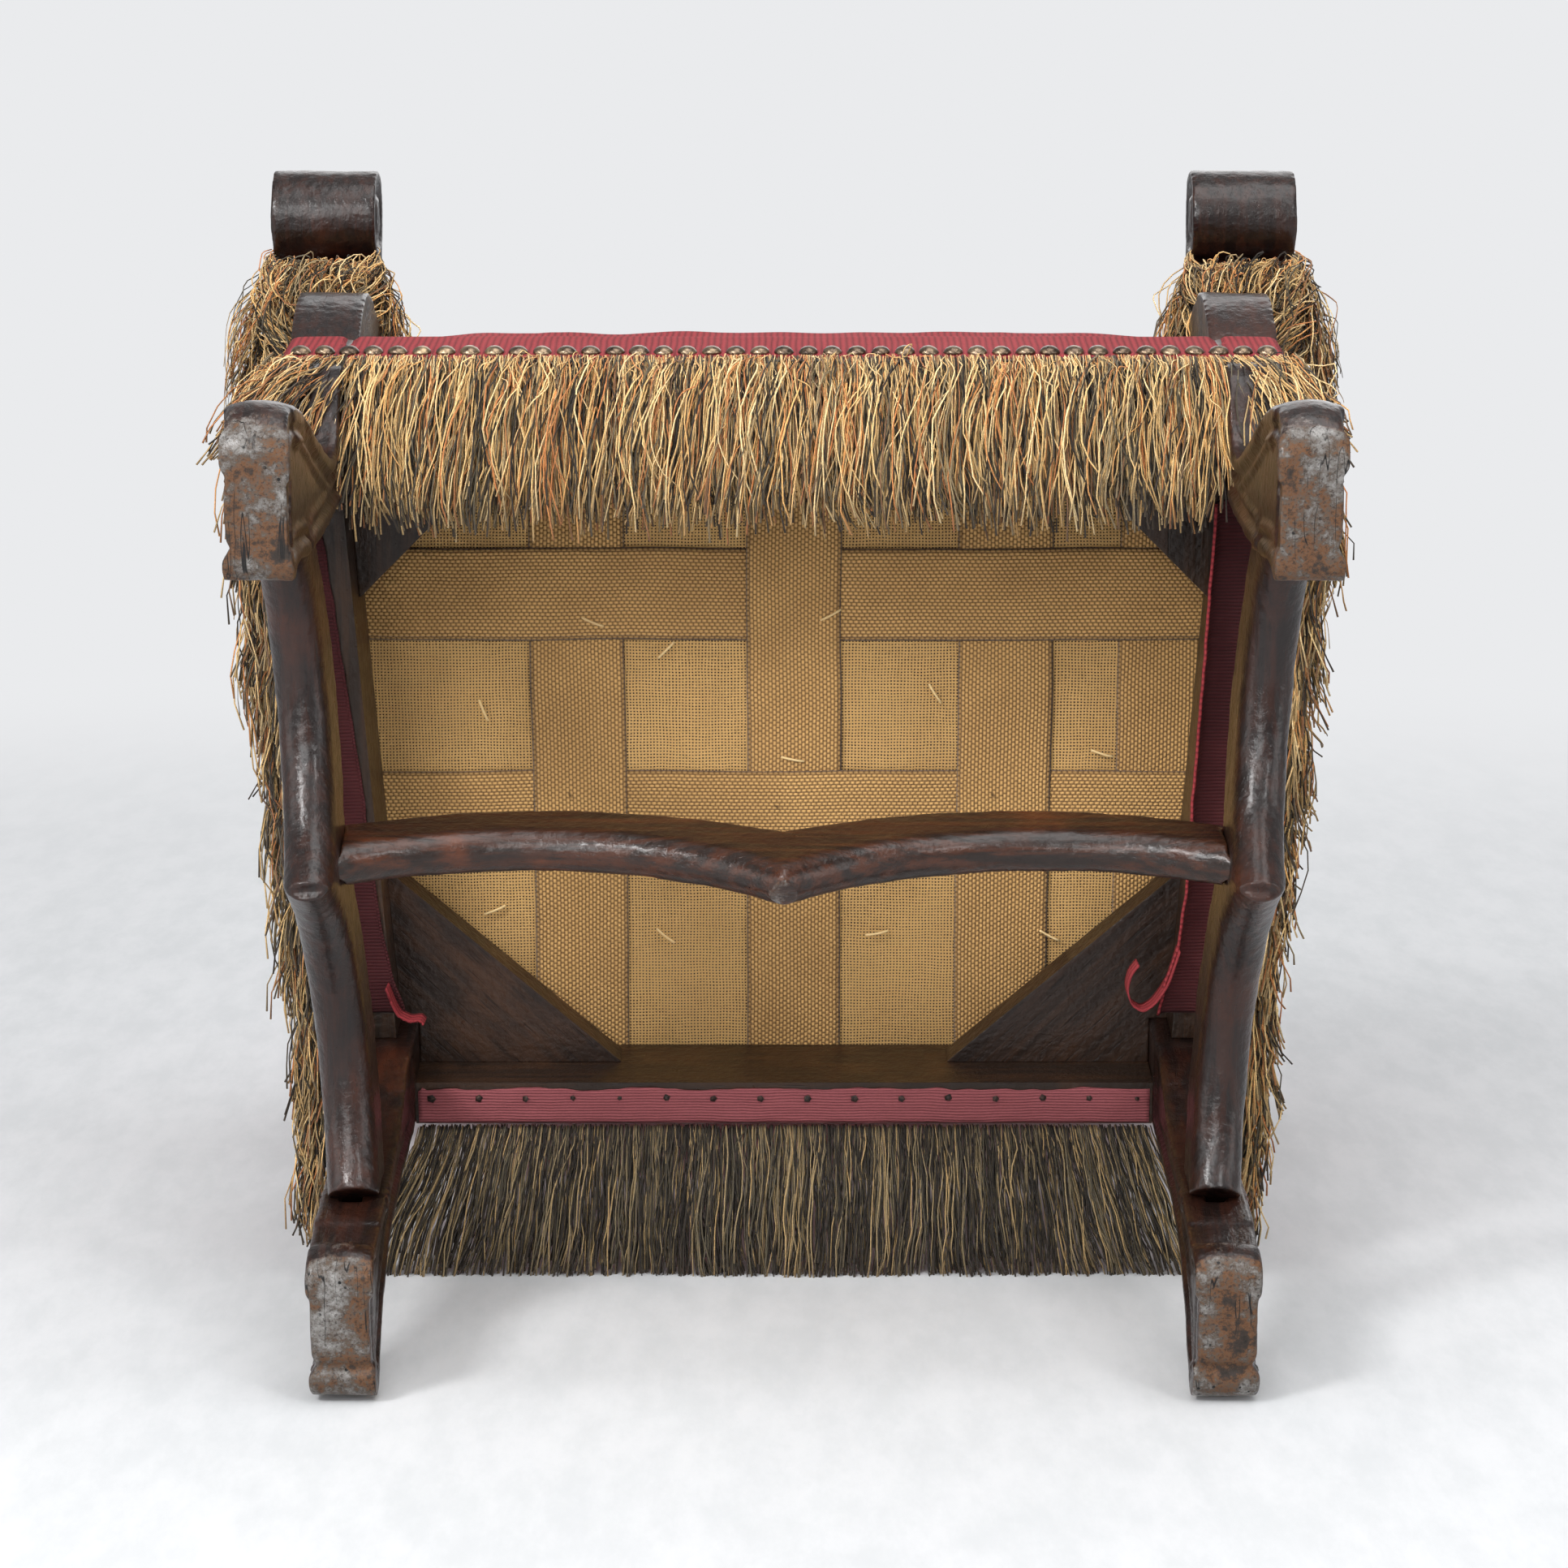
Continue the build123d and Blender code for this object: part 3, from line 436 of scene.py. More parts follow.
frontLeg = {
    "centreX": 0.309, "gridSize": 0.0017, "carvedBelow": 0.300, "nicks": (-0.270, -0.226),
    "pockets": [((-0.226, 0.092), (-0.192, 0.132)), ((-0.30, 0.318), (-0.18, 0.41))],
    # distance from the contour and depth there: rim, cove, ridge, cove, field
    "profile": [(0.0, 0.0), (0.0085, -0.0003), (0.0115, 0.0016), (0.0145, 0.0014), (0.0170, -0.0012),
                (0.0200, -0.0012), (0.0225, 0.0009), (0.0270, 0.0006), (0.0320, 0.0)],
}
rearLeg = {
    "centreX": 0.275, "gridSize": 0.0021, "carvedBelow": 0.300, "nicks": (0.296,),
    "pockets": [((0.215, 0.092), (0.247, 0.132)), ((0.18, 0.318), (0.30, 0.41))],
    "profile": [(0.0, 0.0), (0.0080, -0.0003), (0.0105, 0.0014), (0.0130, 0.0012), (0.0155, -0.0012),
                (0.0180, -0.0010), (0.0210, 0.0006), (0.0300, 0.0)],
}


def grooved(points, normals, hand, leg):
    x, y, z = points.T
    below = leg["carvedBelow"]
    facing = np.abs(normals[:, 0])
    edge = (facing < 0.5) & (np.abs(x - hand * leg["centreX"]) < 0.011)
    for low, high in np.array(leg["pockets"]) + (midY, 0):  # the joints' pockets are no part of the contour
        edge &= ~((points[:, 1:] > low) & (points[:, 1:] < high)).all(1)
    contour = points[edge][::2]
    tree = KDTree(len(contour))
    for i, (_, along, up) in enumerate(contour):
        tree.insert((0, along, up), i)
    tree.balance()
    chosen = np.flatnonzero((facing > 0.75) & (z < below))
    away = [tree.find((0, y[i], z[i]))[2] for i in chosen]
    depth = np.interp(away, *zip(*leg["profile"]))
    x[chosen] -= np.sign(normals[chosen, 0]) * depth * (1 - smoothStep(below - 0.03, below, z[chosen]))
    return points


def footDent(points, hand, leg):
    x, y, z = points.T
    outer = np.clip((x * hand - leg["centreX"] - 0.008) / 0.012, 0, 1)  # the outer edge of a sole
    for nick in leg["nicks"]:
        near = np.exp(-((y - midY - nick) / 0.0045) ** 2) * (1 - smoothStep(0.012, 0.042, z))
        x -= hand * 0.0035 * near * outer
    return points


def carveFront(points, normals, hand):
    x, y, z = grooved(points, normals, hand, frontLeg).T
    toe = (1 - smoothStep(0.02, 0.11, z)) * smoothStep(midY - 0.262, midY - 0.290, y)
    y += 0.005 * toe * ((x - hand * frontLeg["centreX"]) / 0.021) ** 2  # the toe's front is crowned
    return footDent(points, hand, frontLeg)


def carveRear(points, normals, hand):
    x, y, z = grooved(points, normals, hand, rearLeg).T
    foot = (1 - smoothStep(0.026, 0.034, z)) * smoothStep(midY + 0.240, midY + 0.222, y)
    y += 0.003 * foot * ((x - hand * rearLeg["centreX"]) / 0.021) ** 2
    z += 0.0035 * np.exp(-((y - midY - 0.296) / 0.004) ** 2) * (z < 0.012)
    return footDent(points, hand, rearLeg)


def soleOf(points, normals, low):
    return smoothStep(0.016, low, points[:, 2]) * smoothStep(-0.2, -0.7, normals[:, 2])


def scuffFront(points, normals):
    toe = smoothStep(0.05, 0.0, points[:, 2]) * 0.45
    return np.clip(np.maximum(soleOf(points, normals, 0.004), toe), 0, 1)


def scuffRear(points, normals):
    band = 0.3 * smoothStep(0.040, 0.03, points[:, 2]) * smoothStep(midY + 0.26, midY + 0.24, points[:, 1])
    return np.clip(np.maximum(soleOf(points, normals, 0.005), band), 0, 1)


tip = {"axis": np.array((0.0, 0.50, -0.866)), "depth": 0.0055, "half": 0.016, "rim": 0.0012, "scuff": 0.38}


def mitredTip(points):
    lie = points @ tip["axis"]
    near = np.abs(points[:, 0]) < tip["half"]
    return lie, near, lie[near].max()


def carveTip(points, normals, hand):  # the two halves of the stretcher meet in a small sawn face
    lie, near, top = mitredTip(points)
    beyond = np.where(near, np.maximum(lie - top + tip["depth"], 0), 0)
    return points - beyond[:, None] * tip["axis"]


def scuffTip(points, normals):
    lie, near, top = mitredTip(points)
    return np.where(near & (lie > top - tip["rim"]), tip["scuff"], 0.0)


def sawnPiece(name, nodeName, material, bevel=0.0012):
    obj = modified(mergedCopy(name, nodeName), bevel={
        "width": bevel, "segments": 2, "limit_method": "ANGLE", "angle_limit": math.radians(40)})
    setAttribute(obj.data, "wear", np.zeros(len(obj.data.vertices)))
    finishPiece(obj, "wood", material, nodeName)
    obj.data.polygons.foreach_set("use_smooth", np.zeros(len(obj.data.polygons), bool))


for side, hand in hands.items():
    for name, size, *work in (("front", frontLeg["gridSize"], carveFront, scuffFront),
                              ("rear", rearLeg["gridSize"], carveRear, scuffRear)):
        carvedPiece(f"{name}Leg.{side}", f"{name}_leg_{side}", size, waxedLegWood, *work, hand)
    carvedPiece(f"sideStretcher.{side}", f"side_stretcher_{side}", 0.0017, waxedLongWood)
    carvedPiece(f"armSupport.{side}", f"arm_support_{side}", 0.0020, waxedLegWood)
    carvedPiece(f"arm.{side}", f"arm_{side}", 0.0020, waxedLongWood)
carvedPiece("crossStretcher", "cross_stretcher", 0.0016, waxedCrossWood, carveTip, scuffTip)
print("carved wood done")

for nodeName in ("front_rail", "rear_rail", "back_bottom_rail", "back_top_rail"):
    sawnPiece(nodeName.replace("_", "."), nodeName, plainRailWood)
for side in hands:
    sawnPiece(f"side.rail.{side}", f"side_rail_{side}", plainSideWood)
    sawnPiece(f"front.block.{side}", f"front_corner_block_{side}", plainSideWood)
    sawnPiece(f"rear.block.{side}", f"rear_corner_block_{side}", blockWood[side])
sawnPiece("stretcherPegs", "stretcher_pegs", waxedCrossWood, 0.0004)
print("rails and blocks done")


def aimed(obj, place, target, up):
    forward = (Vector(target) - Vector(place)).normalized()
    right = forward.cross(Vector(up)).normalized()
    turn = Matrix((right, right.cross(forward), -forward)).transposed().to_4x4()
    obj.matrix_world = Matrix.Translation(place) @ turn


view = {
    "place": (0.0, -0.897, -2.486), "forward": (0.0, 0.2924, 0.9563), "up": (0.0, -0.9563, 0.2924),
    "lens": 100.25,
}
camera = addObject("camera", bpy.data.cameras.new("camera"))
camera.data.lens = view["lens"]
camera.data.sensor_width = 36
camera.data.sensor_fit = "HORIZONTAL"
camera.data.clip_end = 100
aimed(camera, view["place"], Vector(view["place"]) + Vector(view["forward"]), view["up"])
scene.camera = camera
scene.view_settings.view_transform = "Standard"

lamps = {  # place, size and power of each soft lamp; all of them look at the seat
    "overhead": ((0.6, -3.4, -0.2), 2.6, 80),
    "lowFront": ((-0.9, -2.0, -3.2), 2.0, 72),
    "leftSide": ((-3.4, -0.9, -0.8), 1.8, 24),
    "rightSide": ((3.4, -0.9, -0.8), 1.8, 24),
    "high": ((0.4, -1.2, 3.6), 2.6, 34),
    "window": ((-1.9, -2.5, -1.7), 0.8, 84),
    "strip": ((1.7, -2.2, -1.9), 0.5, 20),
    "behind": ((0.8, 3.4, 2.0), 2.0, 46),
}
for name, (place, size, power) in lamps.items():
    lamp = bpy.data.lights.new(name, "AREA")
    lamp.shape = "SQUARE"
    lamp.size = size
    lamp.energy = power
    aimed(addObject(name, lamp), place, (0, 0, 0.35), (0.1, 0.2, 1))

studio = {"backdrop": shade(234, 235, 237), "air": (0.80, 0.81, 0.83, 1), "strength": 0.34, "mirrored": 0.35}
world = bpy.data.worlds.new("studio")
scene.world = world
world.use_nodes = True
air = Wiring(world.node_tree)
airLight = world.node_tree.nodes["Background"]
air.fill(airLight, {"Color": studio["air"], "Strength": studio["strength"]})
seen = air.out("ShaderNodeBackground", {"Color": studio["backdrop"], "Strength": 1.0})
rays = air.outputs("ShaderNodeLightPath")
paleShare = air.math("MAXIMUM", rays["Is Glossy Ray"] * studio["mirrored"], rays["Is Transmission Ray"])
paleShare = air.math("MAXIMUM", rays["Is Camera Ray"], paleShare)
choice = air.out("ShaderNodeMixShader", {0: paleShare, 1: Wire(air, airLight.outputs[0]), 2: seen})
air.fill(world.node_tree.nodes["World Output"], {"Surface": choice})


def groundMaterial(name, centre, axis):
    material, wires, shader = newMaterial(name)
    place = wires.place()
    far = wires.band(wires.vector("LENGTH", place - centre, out=1), 0.9, 2.6)
    marks = wires.band(wires.cloud(place * (9.0, 9.0, 3.0), 3.0, 8.0, 0.7), 0.3, 0.7)
    wires.fill(shader, {"Base Color": wires.mix(marks, shade(198, 200, 202), shade(208, 209, 211)),
                        "Roughness": 0.75, "Specular IOR Level": 0.2})
    height = wires.out("ShaderNodeSeparateXYZ", {0: place}, axis)
    glow = wires.mix(wires.band(height, -1.1, 1.6), shade(204, 206, 208), studio["backdrop"])
    pale = wires.out("ShaderNodeEmission", {"Color": glow})
    share = far * wires.out("ShaderNodeLightPath", out="Is Camera Ray")
    front = wires.out("ShaderNodeMixShader", {0: share, 1: Wire(wires, shader.outputs[0]), 2: pale})
    behind = wires.out("ShaderNodeNewGeometry", out="Backfacing")
    both = wires.out("ShaderNodeMixShader", {0: behind, 1: front, 2: wires.out("ShaderNodeBsdfTransparent")})
    wires.fill(material.node_tree.nodes["Material Output"], {"Surface": both})
    return material


def ground(name, origin, along, centre, axis, facing, **hidden):
    reach, across = 6, Vector((1, 0, 0))
    along = Vector(along).normalized()
    corners = [Vector(origin) + along * a + across * b
               for a, b in ((-reach, -reach), (-reach, reach), (3 * reach, reach), (3 * reach, -reach))]
    plane = meshObject(name, corners, [(0, 1, 2, 3)])
    plane.data.materials.append(groundMaterial(name, centre, axis))
    if plane.data.polygons[0].normal.dot(Vector(facing)) < 0:
        plane.data.flip_normals()
    for key, value in hidden.items():
        setattr(plane, key, value)


# the chair rests on its feet here, and on its heels and top rail behind: both grounds show from one side only
heelPoint, topPoint = Vector((0, 0.2690, 0.010)), Vector((0, 0.4040, 1.120))
ground("restingGround", heelPoint, topPoint - heelPoint, (0, 0.3, 0.5), 2, (0, -1, 0), visible_shadow=False)
ground("standingGround", (0, 0, 0), (0, 1, 0), (0, 0, 0), 1, (0, 0, 1),
       visible_shadow=False, visible_diffuse=False, visible_glossy=False)
print("camera, lamps and stage done")


webbing = {
    "width": 0.065, "thickness": 0.0011, "level": 0.4068, "lift": 0.0009, "step": 0.004, "columns": 15,
    "beadWidth": 0.0025, "beadLength": 0.0037,
    "long": {"left": -0.142, "middle": 0.007, "right": 0.152, "far_right": 0.262},
    "cross": {"front": -0.0955, "rear": 0.0635},
}
crossings = {  # 1 where the lengthwise strip lies below the crosswise one, as seen from underneath
    ("left", "front"): -1, ("middle", "front"): 1, ("right", "front"): -1, ("far_right", "front"): -1,
    ("left", "rear"): 1, ("middle", "rear"): -1, ("right", "rear"): 1, ("far_right", "rear"): -1,
}
burlap = {
    "columns": 120, "rows": 100, "level": 0.4092, "thickness": 0.0006, "share": 0.93,
    "X": 0.00225, "Y": 0.00220,  # the pitch of the threads
}
weaveSockets = {"Vector": "Place", "Color": "Light Deep"}, {"Color": "Color", "Float": "Height"}


def webbingGroup():
    wires, source, cloud, band, mix = newGroup("wovenWebbing", *weaveSockets)
    place, half = source["Place"], webbing["width"] / 2
    wave = lambda turns: wires.math("SINE", wires.math("FRACT", turns) * math.pi)
    drift = wires.sway(place, 24.0, 3.0).scaled(0.0016)
    parts = wires.outputs("ShaderNodeSeparateXYZ", {0: place + drift})
    across = parts["X"] * (1 / webbing["beadWidth"])
    column = wires.math("FLOOR", across)
    lean = wires.math("PINGPONG", column, 8.0) * 0.05  # twill lines that turn back
    along = parts["Y"] * (1 / webbing["beadLength"]) + column % 2.0 * 0.5 + lean
    bead = wires.math("MAXIMUM", wave(across) * wave(along), 0.0) ** 0.7
    fibre = cloud(place * (2600.0, 700.0, 1.0), 1.0, 2.0)
    stain = band(cloud(place, 9.0, 5.0, 0.65), 0.34, 0.66)
    color = mix(bead * 0.86 + fibre * 0.22, source["Deep"], source["Light"])
    color = mix(stain * 0.22, color, shade(104, 66, 30))
    color = mix(band(cloud(place, 55.0, 2.0), 0.70, 0.76) * 0.75, color, shade(62, 38, 18))
    # the strip's edges are darkened here with painted shade
    rim = abs(wires.out("ShaderNodeSeparateXYZ", {0: place}) - half)
    color = mix(band(rim, half - 0.004, half) * 0.55, color, shade(70, 42, 20))
    return wires.finish(Color=color, Height=bead)


def burlapGroup():
    wires, source, cloud, band, mix = newGroup("openBurlap", *weaveSockets)
    place = source["Place"]
    drift = wires.sway(place, 30.0, 4.0).scaled(0.0030)
    parts = wires.outputs("ShaderNodeSeparateXYZ", {0: place + drift})
    warp, weft = (abs(wires.math("SINE", parts[key] * (math.pi / burlap[key]))) for key in "XY")
    thread = wires.math("MAXIMUM", warp, weft)
    hole = band(thread + cloud(place, 260.0) * 0.42, 0.96, 0.60)
    fibre = cloud(place * (900.0, 1500.0, 1.0), 1.0, 3.0)
    stain = band(cloud(place, 13.0, 5.0, 0.6), 0.38, 0.7)
    tone = wires.math("ADD", thread * 0.6, fibre * 0.45, clamp=True)
    color = mix(tone, source["Deep"], source["Light"])
    color = mix(stain * 0.2, color, shade(122, 82, 40))
    return wires.finish(Color=mix(hole, color, shade(44, 27, 13)), Height=tone - hole)


def juteMaterial(name, group, light, deep, relief):
    inputs = lambda wires: {"Place": wires.place("UV"), "Light": light, "Deep": deep}
    return groupMaterial(name, group, inputs, (0.8, relief),
                         {"Roughness": 0.85, "Sheen Weight": 0.15, "Specular IOR Level": 0.25})


juteWebbing = juteMaterial("juteWebbing", webbingGroup(), shade(232, 184, 116), shade(92, 58, 26), 0.0014)
juteBurlap = juteMaterial("juteBurlap", burlapGroup(), shade(216, 174, 110), shade(124, 86, 46), 0.0010)


def stripMesh(name, low, high, across, lengthwise, overUnder):
    columns, rows = webbing["columns"], int((high - low) / webbing["step"]) + 1
    points, places = [], []
    for u, v in gridShares(columns, rows):
        run, offset = low + (high - low) * v, webbing["width"] * (u - 0.5)
        lie = sum(sign * math.exp(-((run - at) / 0.036) ** 4) for at, sign in overUnder)
        wander = 0.0016 * uneven(run * 7.0, across * 31.0, 1.0)
        ripple = 0.0007 * uneven(run * 16.0, offset * 30.0, across * 50.0) + 0.0006 * abs(2 * u - 1) ** 5
        side = across + offset * (1 + 0.012 * uneven(run * 20.0, 3.0, across)) + wander
        z = webbing["level"] - webbing["lift"] * lie + ripple
        points.append((side, run, z) if lengthwise else (run, side, z))
        places.append((offset + webbing["width"] / 2, run))
    faces = [face if lengthwise else (face[0], *face[:0:-1]) for face in gridFaces(columns, rows)]
    obj = meshObject(name, points, faces)
    setPlaces(obj.data, places)
    return thickened(obj, webbing["thickness"])


def finishStrip(strip, nodeName):
    finishPiece(strip, "webbing", juteWebbing, nodeName)


for name, x in webbing["long"].items():
    low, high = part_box(f"webbing_long_{name}")
    over = [(webbing["cross"][other] + midY, crossings[name, other]) for other in webbing["cross"]]
    strip = stripMesh(f"webbingLong.{name}", low.y, high.y, x, True, over)
    if name == "far_right":  # it passes beside the arm support and the post
        for vertex in strip.data.vertices:
            beside = vertex.co.y < midY - 0.19 or vertex.co.y > midY + 0.196
            vertex.co.x = min(vertex.co.x, 0.2835 if beside else 0.2935)
    finishStrip(strip, f"webbing_long_{name}")
for name, y in webbing["cross"].items():
    low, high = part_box(f"webbing_cross_{name}")
    over = [(webbing["long"][other], -crossings[other, name]) for other in webbing["long"]]
    strip = stripMesh(f"webbingCross.{name}", low.x, high.x, y + midY, False, over)
    finishStrip(strip, f"webbing_cross_{name}")


def makeBurlap():
    low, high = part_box("burlap")
    points, places = [], []
    for u, v in gridShares(burlap["columns"], burlap["rows"]):
        y = low.y + (high.y - low.y) * v
        half = min(high.x, 0.3175 - 0.0265 * (y - midY + 0.185) / 0.385)  # the frame is narrower at the rear
        x = half * (2 * u - 1)
        inside = smoothStep(0.29, 0.24, abs(x)) * smoothStep(0.25, 0.20, abs(y - midY))
        points.append((x, y, burlap["level"] + 0.0013 * uneven(x * 14.0, y * 14.0, 5.0) * inside))
        places.append((x, y))
    kept = []
    for face in gridFaces(burlap["columns"], burlap["rows"]):  # cut round the arm supports and the posts
        x = sum(abs(points[k][0]) for k in face) / 4
        y = sum(points[k][1] for k in face) / 4 - midY
        if not (x > 0.279 and y < -0.190) and not (x > 0.248 and y > 0.194):
            kept.append(face)
    obj = meshObject("seatBurlap", points, kept)
    setPlaces(obj.data, places)
    with meshWork(obj.data, obj.data) as bm:
        bmesh.ops.delete(bm, geom=[v for v in bm.verts if not v.link_faces], context="VERTS")
    thickened(obj, burlap["thickness"])
    finishPiece(obj, "burlap", juteBurlap, "burlap")


makeBurlap()
print("webbing and burlap done")


def ribbedGroup():
    wires, source, cloud, band, mix = newGroup(
        "ribbedCloth", {"Float": "Across Pitch", "Vector": "Place", "Color": "Light Deep"},
        {"Color": "Color", "Float": "Height"})
    place = source["Place"]
    drift = (cloud(place, 16.0, 3.0) - 0.5) * 0.004
    rib = abs(wires.math("SINE", (source["Across"] + drift) / source["Pitch"] * math.pi))
    slub = cloud(place, 520.0, 3.0, 0.7)
    fade = band(cloud(place, 7.0, 4.0, 0.6), 0.35, 0.68)
    tone = wires.math("ADD", rib * 0.62, slub * 0.42, clamp=True)
    color = mix(tone, source["Deep"], source["Light"])
    color = mix(fade * 0.16, color, mix(0.5, source["Light"], shade(176, 92, 92)))
    return wires.finish(Color=color, Height=rib + slub * 0.5)


ribbedCloth = ribbedGroup()


def repMaterial(name, light, deep, pitch, relief):
    inputs = lambda wires: {"Across": wires.attribute("across"), "Place": wires.place(), "Pitch": pitch,
                            "Light": light, "Deep": deep}
    return groupMaterial(name, ribbedCloth, inputs, (0.7, relief),
                         {"Roughness": 0.82, "Sheen Weight": 0.0, "Specular IOR Level": 0.25})


redRep = repMaterial("redRep", shade(150, 50, 55), shade(82, 23, 28), 0.0042, 0.0008)
redRepReverse = repMaterial("redRepReverse", shade(152, 84, 88), shade(88, 41, 45), 0.0021, 0.0006)
# a copy of the red rep darkened all over with painted shade, for cloth lying in the rails' shadow
redRepShaded = repMaterial("redRepShaded", shade(60, 19, 23), shade(30, 9, 11), 0.0024, 0.0006)


def prism(name, outline, low, high, bevel=0.0):
    mesh = bpy.data.meshes.new(name)
    with meshWork(mesh) as bm:
        bottom, top = ([bm.verts.new((x, y, z)) for x, y in outline] for z in (low, high))
        bm.faces.new(bottom[::-1])
        lid = bm.faces.new(top)
        for i in range(len(outline)):
            k = (i + 1) % len(outline)
            bm.faces.new((bottom[i], bottom[k], top[k], top[i]))
        if bevel:
            bmesh.ops.bevel(bm, geom=list(lid.edges), offset=bevel, segments=5, profile=0.5, affect="EDGES")
        bmesh.ops.recalc_face_normals(bm, faces=bm.faces)
    return addObject(name, mesh)


def puffed(obj, pad, held, frames=18):
    rest = readPoints(obj.data)
    pins = obj.vertex_groups.new(name="held")
    pins.add([int(i) for i in np.flatnonzero(held(rest))], 1.0, "ADD")
    cloth = obj.modifiers.new("cloth", "CLOTH")
    cloth.settings.use_pressure = True
    cloth.settings.uniform_pressure_force = pad["pressure"]
    cloth.settings.effector_weights.gravity = 0
    cloth.settings.vertex_group_mass = "held"
    cloth.settings.quality = 4
    cloth.collision_settings.use_collision = False
    for step in range(1, frames + 1):
        scene.frame_set(step)
    applied(obj)
    scene.frame_set(1)
    moved = readPoints(obj.data) - rest
    length = np.linalg.norm(moved, axis=1)
    writePoints(obj.data, rest + moved * (np.minimum(length, pad["cap"]) / np.maximum(length, 1e-9))[:, None])
    obj.vertex_groups.clear()


def opened(obj, level):  # takes away the faces that look down below a level
    with meshWork(obj.data, obj.data) as bm:
        down = [(face, face.calc_center_median()) for face in bm.faces if face.normal.z < -0.6]
        low = [face for face, centre in down if centre.z < level(centre)]
        bmesh.ops.delete(bm, geom=low, context="FACES")


def crowned(obj, amount, halves, middle, low, high):
    points = readPoints(obj.data)
    x, y, z = points.T
    z += amount * (2 - (x / halves[0]) ** 2 - ((y - middle) / halves[1]) ** 2) * smoothStep(low, high, z)
    writePoints(obj.data, points)


def ribsAcross(along, up, normals):  # the ribs run on over a pad's sides
    return along + np.sign(along) * up * smoothStep(0.35, 0.75, np.abs(normals[:, 0]))


def finishPad(obj, across, fill, *replaced, cloth=None):
    setAttribute(obj.data, "across", across)
    if cloth:
        thickened(obj, cloth, -1)
    finishPiece(obj, "cover", redRep, *replaced)


seatCover = {
    "grid": 0.005, "hem": 0.3335, "tuck": 0.4105, "top": 0.4845, "crown": 0.004, "roll": 0.020,
    "pressure": 3.0, "cap": 0.0035, "cloth": 0.0016, "pleats": (-0.290, 0.290),
    "frameHalf": [(0.332, -0.275), (0.332, -0.193), (0.3245, -0.185), (0.298, 0.200), (0.298, 0.264)],
    "padHalf": [(0.283, -0.2645), (0.283, -0.193), (0.323, -0.191), (0.296, 0.198), (0.252, 0.200),
                (0.252, 0.260)],
}


def makeSeatCover():
    s = seatCover
    mirrored = lambda half: [(x, y + midY) for x, y in half] + [(-x, y + midY) for x, y in reversed(half)]
    band = prism("band", mirrored(s["frameHalf"]), s["hem"], s["tuck"])
    pad = prism("pad", mirrored(s["padHalf"]), s["tuck"] - 0.008, s["top"], s["roll"])
    obj = remeshed(joined("seatCover", band, pad), s["grid"], 3)
    crowned(obj, s["crown"], (0.34, 0.285), midY, 0.43, 0.47)
    puffed(obj, s, lambda p: p[:, 2] < 0.412)
    opened(obj, lambda centre: s["hem"] + 0.006)
    subdivided(obj)
    points, normals = readPoints(obj.data), readNormals(obj.data)
    loose = smoothStep(0.405, 0.43, points[:, 2])
    points = wavered(points, normals * (0.3 + loose)[:, None], 0.0012, 22.0)
    x, y, z = points.T
    for pleat in s["pleats"]:  # where the cloth turns round an arm support
        fold = np.exp(-((x - pleat) / 0.0035) ** 2) * (y < midY - 0.268)
        y += 0.0035 * fold * smoothStep(0.345, 0.40, z)
    writePoints(obj.data, points)
    across = ribsAcross(x, 0.45 - z, readNormals(obj.data))
    finishPad(obj, across, 0.7, "seat_cover", "seat_stuffing", cloth=s["cloth"])


makeSeatCover()
print("seat cover done")

armPad = {
    "outside": ((0.3632, -0.280), (0.3432, 0.020), (0.2982, 0.300)),
    "inside": ((0.2948, -0.280), (0.2808, 0.020), (0.2518, 0.300)),
    "front": -0.272, "rear": 0.262, "rise": 0.0205, "roll": 0.015, "grid": 0.0038, "rows": 46,
    "pressure": 4.0, "cap": 0.006, "cloth": 0.0016,
}


def armBottom(y):
    return 0.612 + 0.26 * (y + 0.120) ** 2


def armTop(y):
    return 0.649 + 0.26 * (y + 0.140) ** 2


def armRing(y, hand):
    outer, inner = throughThree(armPad["outside"], y), throughThree(armPad["inside"], y)
    low, high, roll = armBottom(y), armTop(y) + armPad["rise"], armPad["roll"]
    turns = [(roll * (1 - math.cos(t)), high - roll * (1 - math.sin(t))) for t in (0, 0.4, 0.8, 1.2, 1.57)]
    ring = [(inner, low), (inner, (low + high - roll) / 2)] + [(inner + x, z) for x, z in turns]
    ring += [((inner + outer) / 2, high + 0.003)] + [(outer - x, z) for x, z in turns[::-1]]
    ring += [(outer, (low + high - roll) / 2), (outer, low)]
    return [(hand * x, y + midY, z) for x, z in ring]


def makeArmPad(hand, side):
    a = armPad
    rings = [armRing(y, hand) for y in np.linspace(a["front"], a["rear"], a["rows"])]
    points = [p for ring in rings for p in ring]
    obj = meshObject(f"armPad.{side}", points, ringFaces(len(rings[0]), a["rows"]))
    with meshWork(obj.data, obj.data) as bm:
        bmesh.ops.recalc_face_normals(bm, faces=bm.faces)
    remeshed(obj, a["grid"], 2)
    puffed(obj, a, lambda p: p[:, 2] < armBottom(p[:, 1] - midY) + 0.022)
    opened(obj, lambda centre: armBottom(centre.y - midY) + 0.006)
    subdivided(obj)
    points = wavered(readPoints(obj.data), readNormals(obj.data), 0.0009, 30.0, hand)
    writePoints(obj.data, points)
    y = points[:, 1] - midY
    middle = (throughThree(a["outside"], y) + throughThree(a["inside"], y)) / 2
    across = ribsAcross(np.abs(points[:, 0]) - middle, armTop(y) - points[:, 2], readNormals(obj.data))
    finishPad(obj, across, 0.8, f"arm_cover_{side}", f"arm_pad_{side}", cloth=a["cloth"])


for side, hand in hands.items():
    makeArmPad(hand, side)
print("arm pads done")

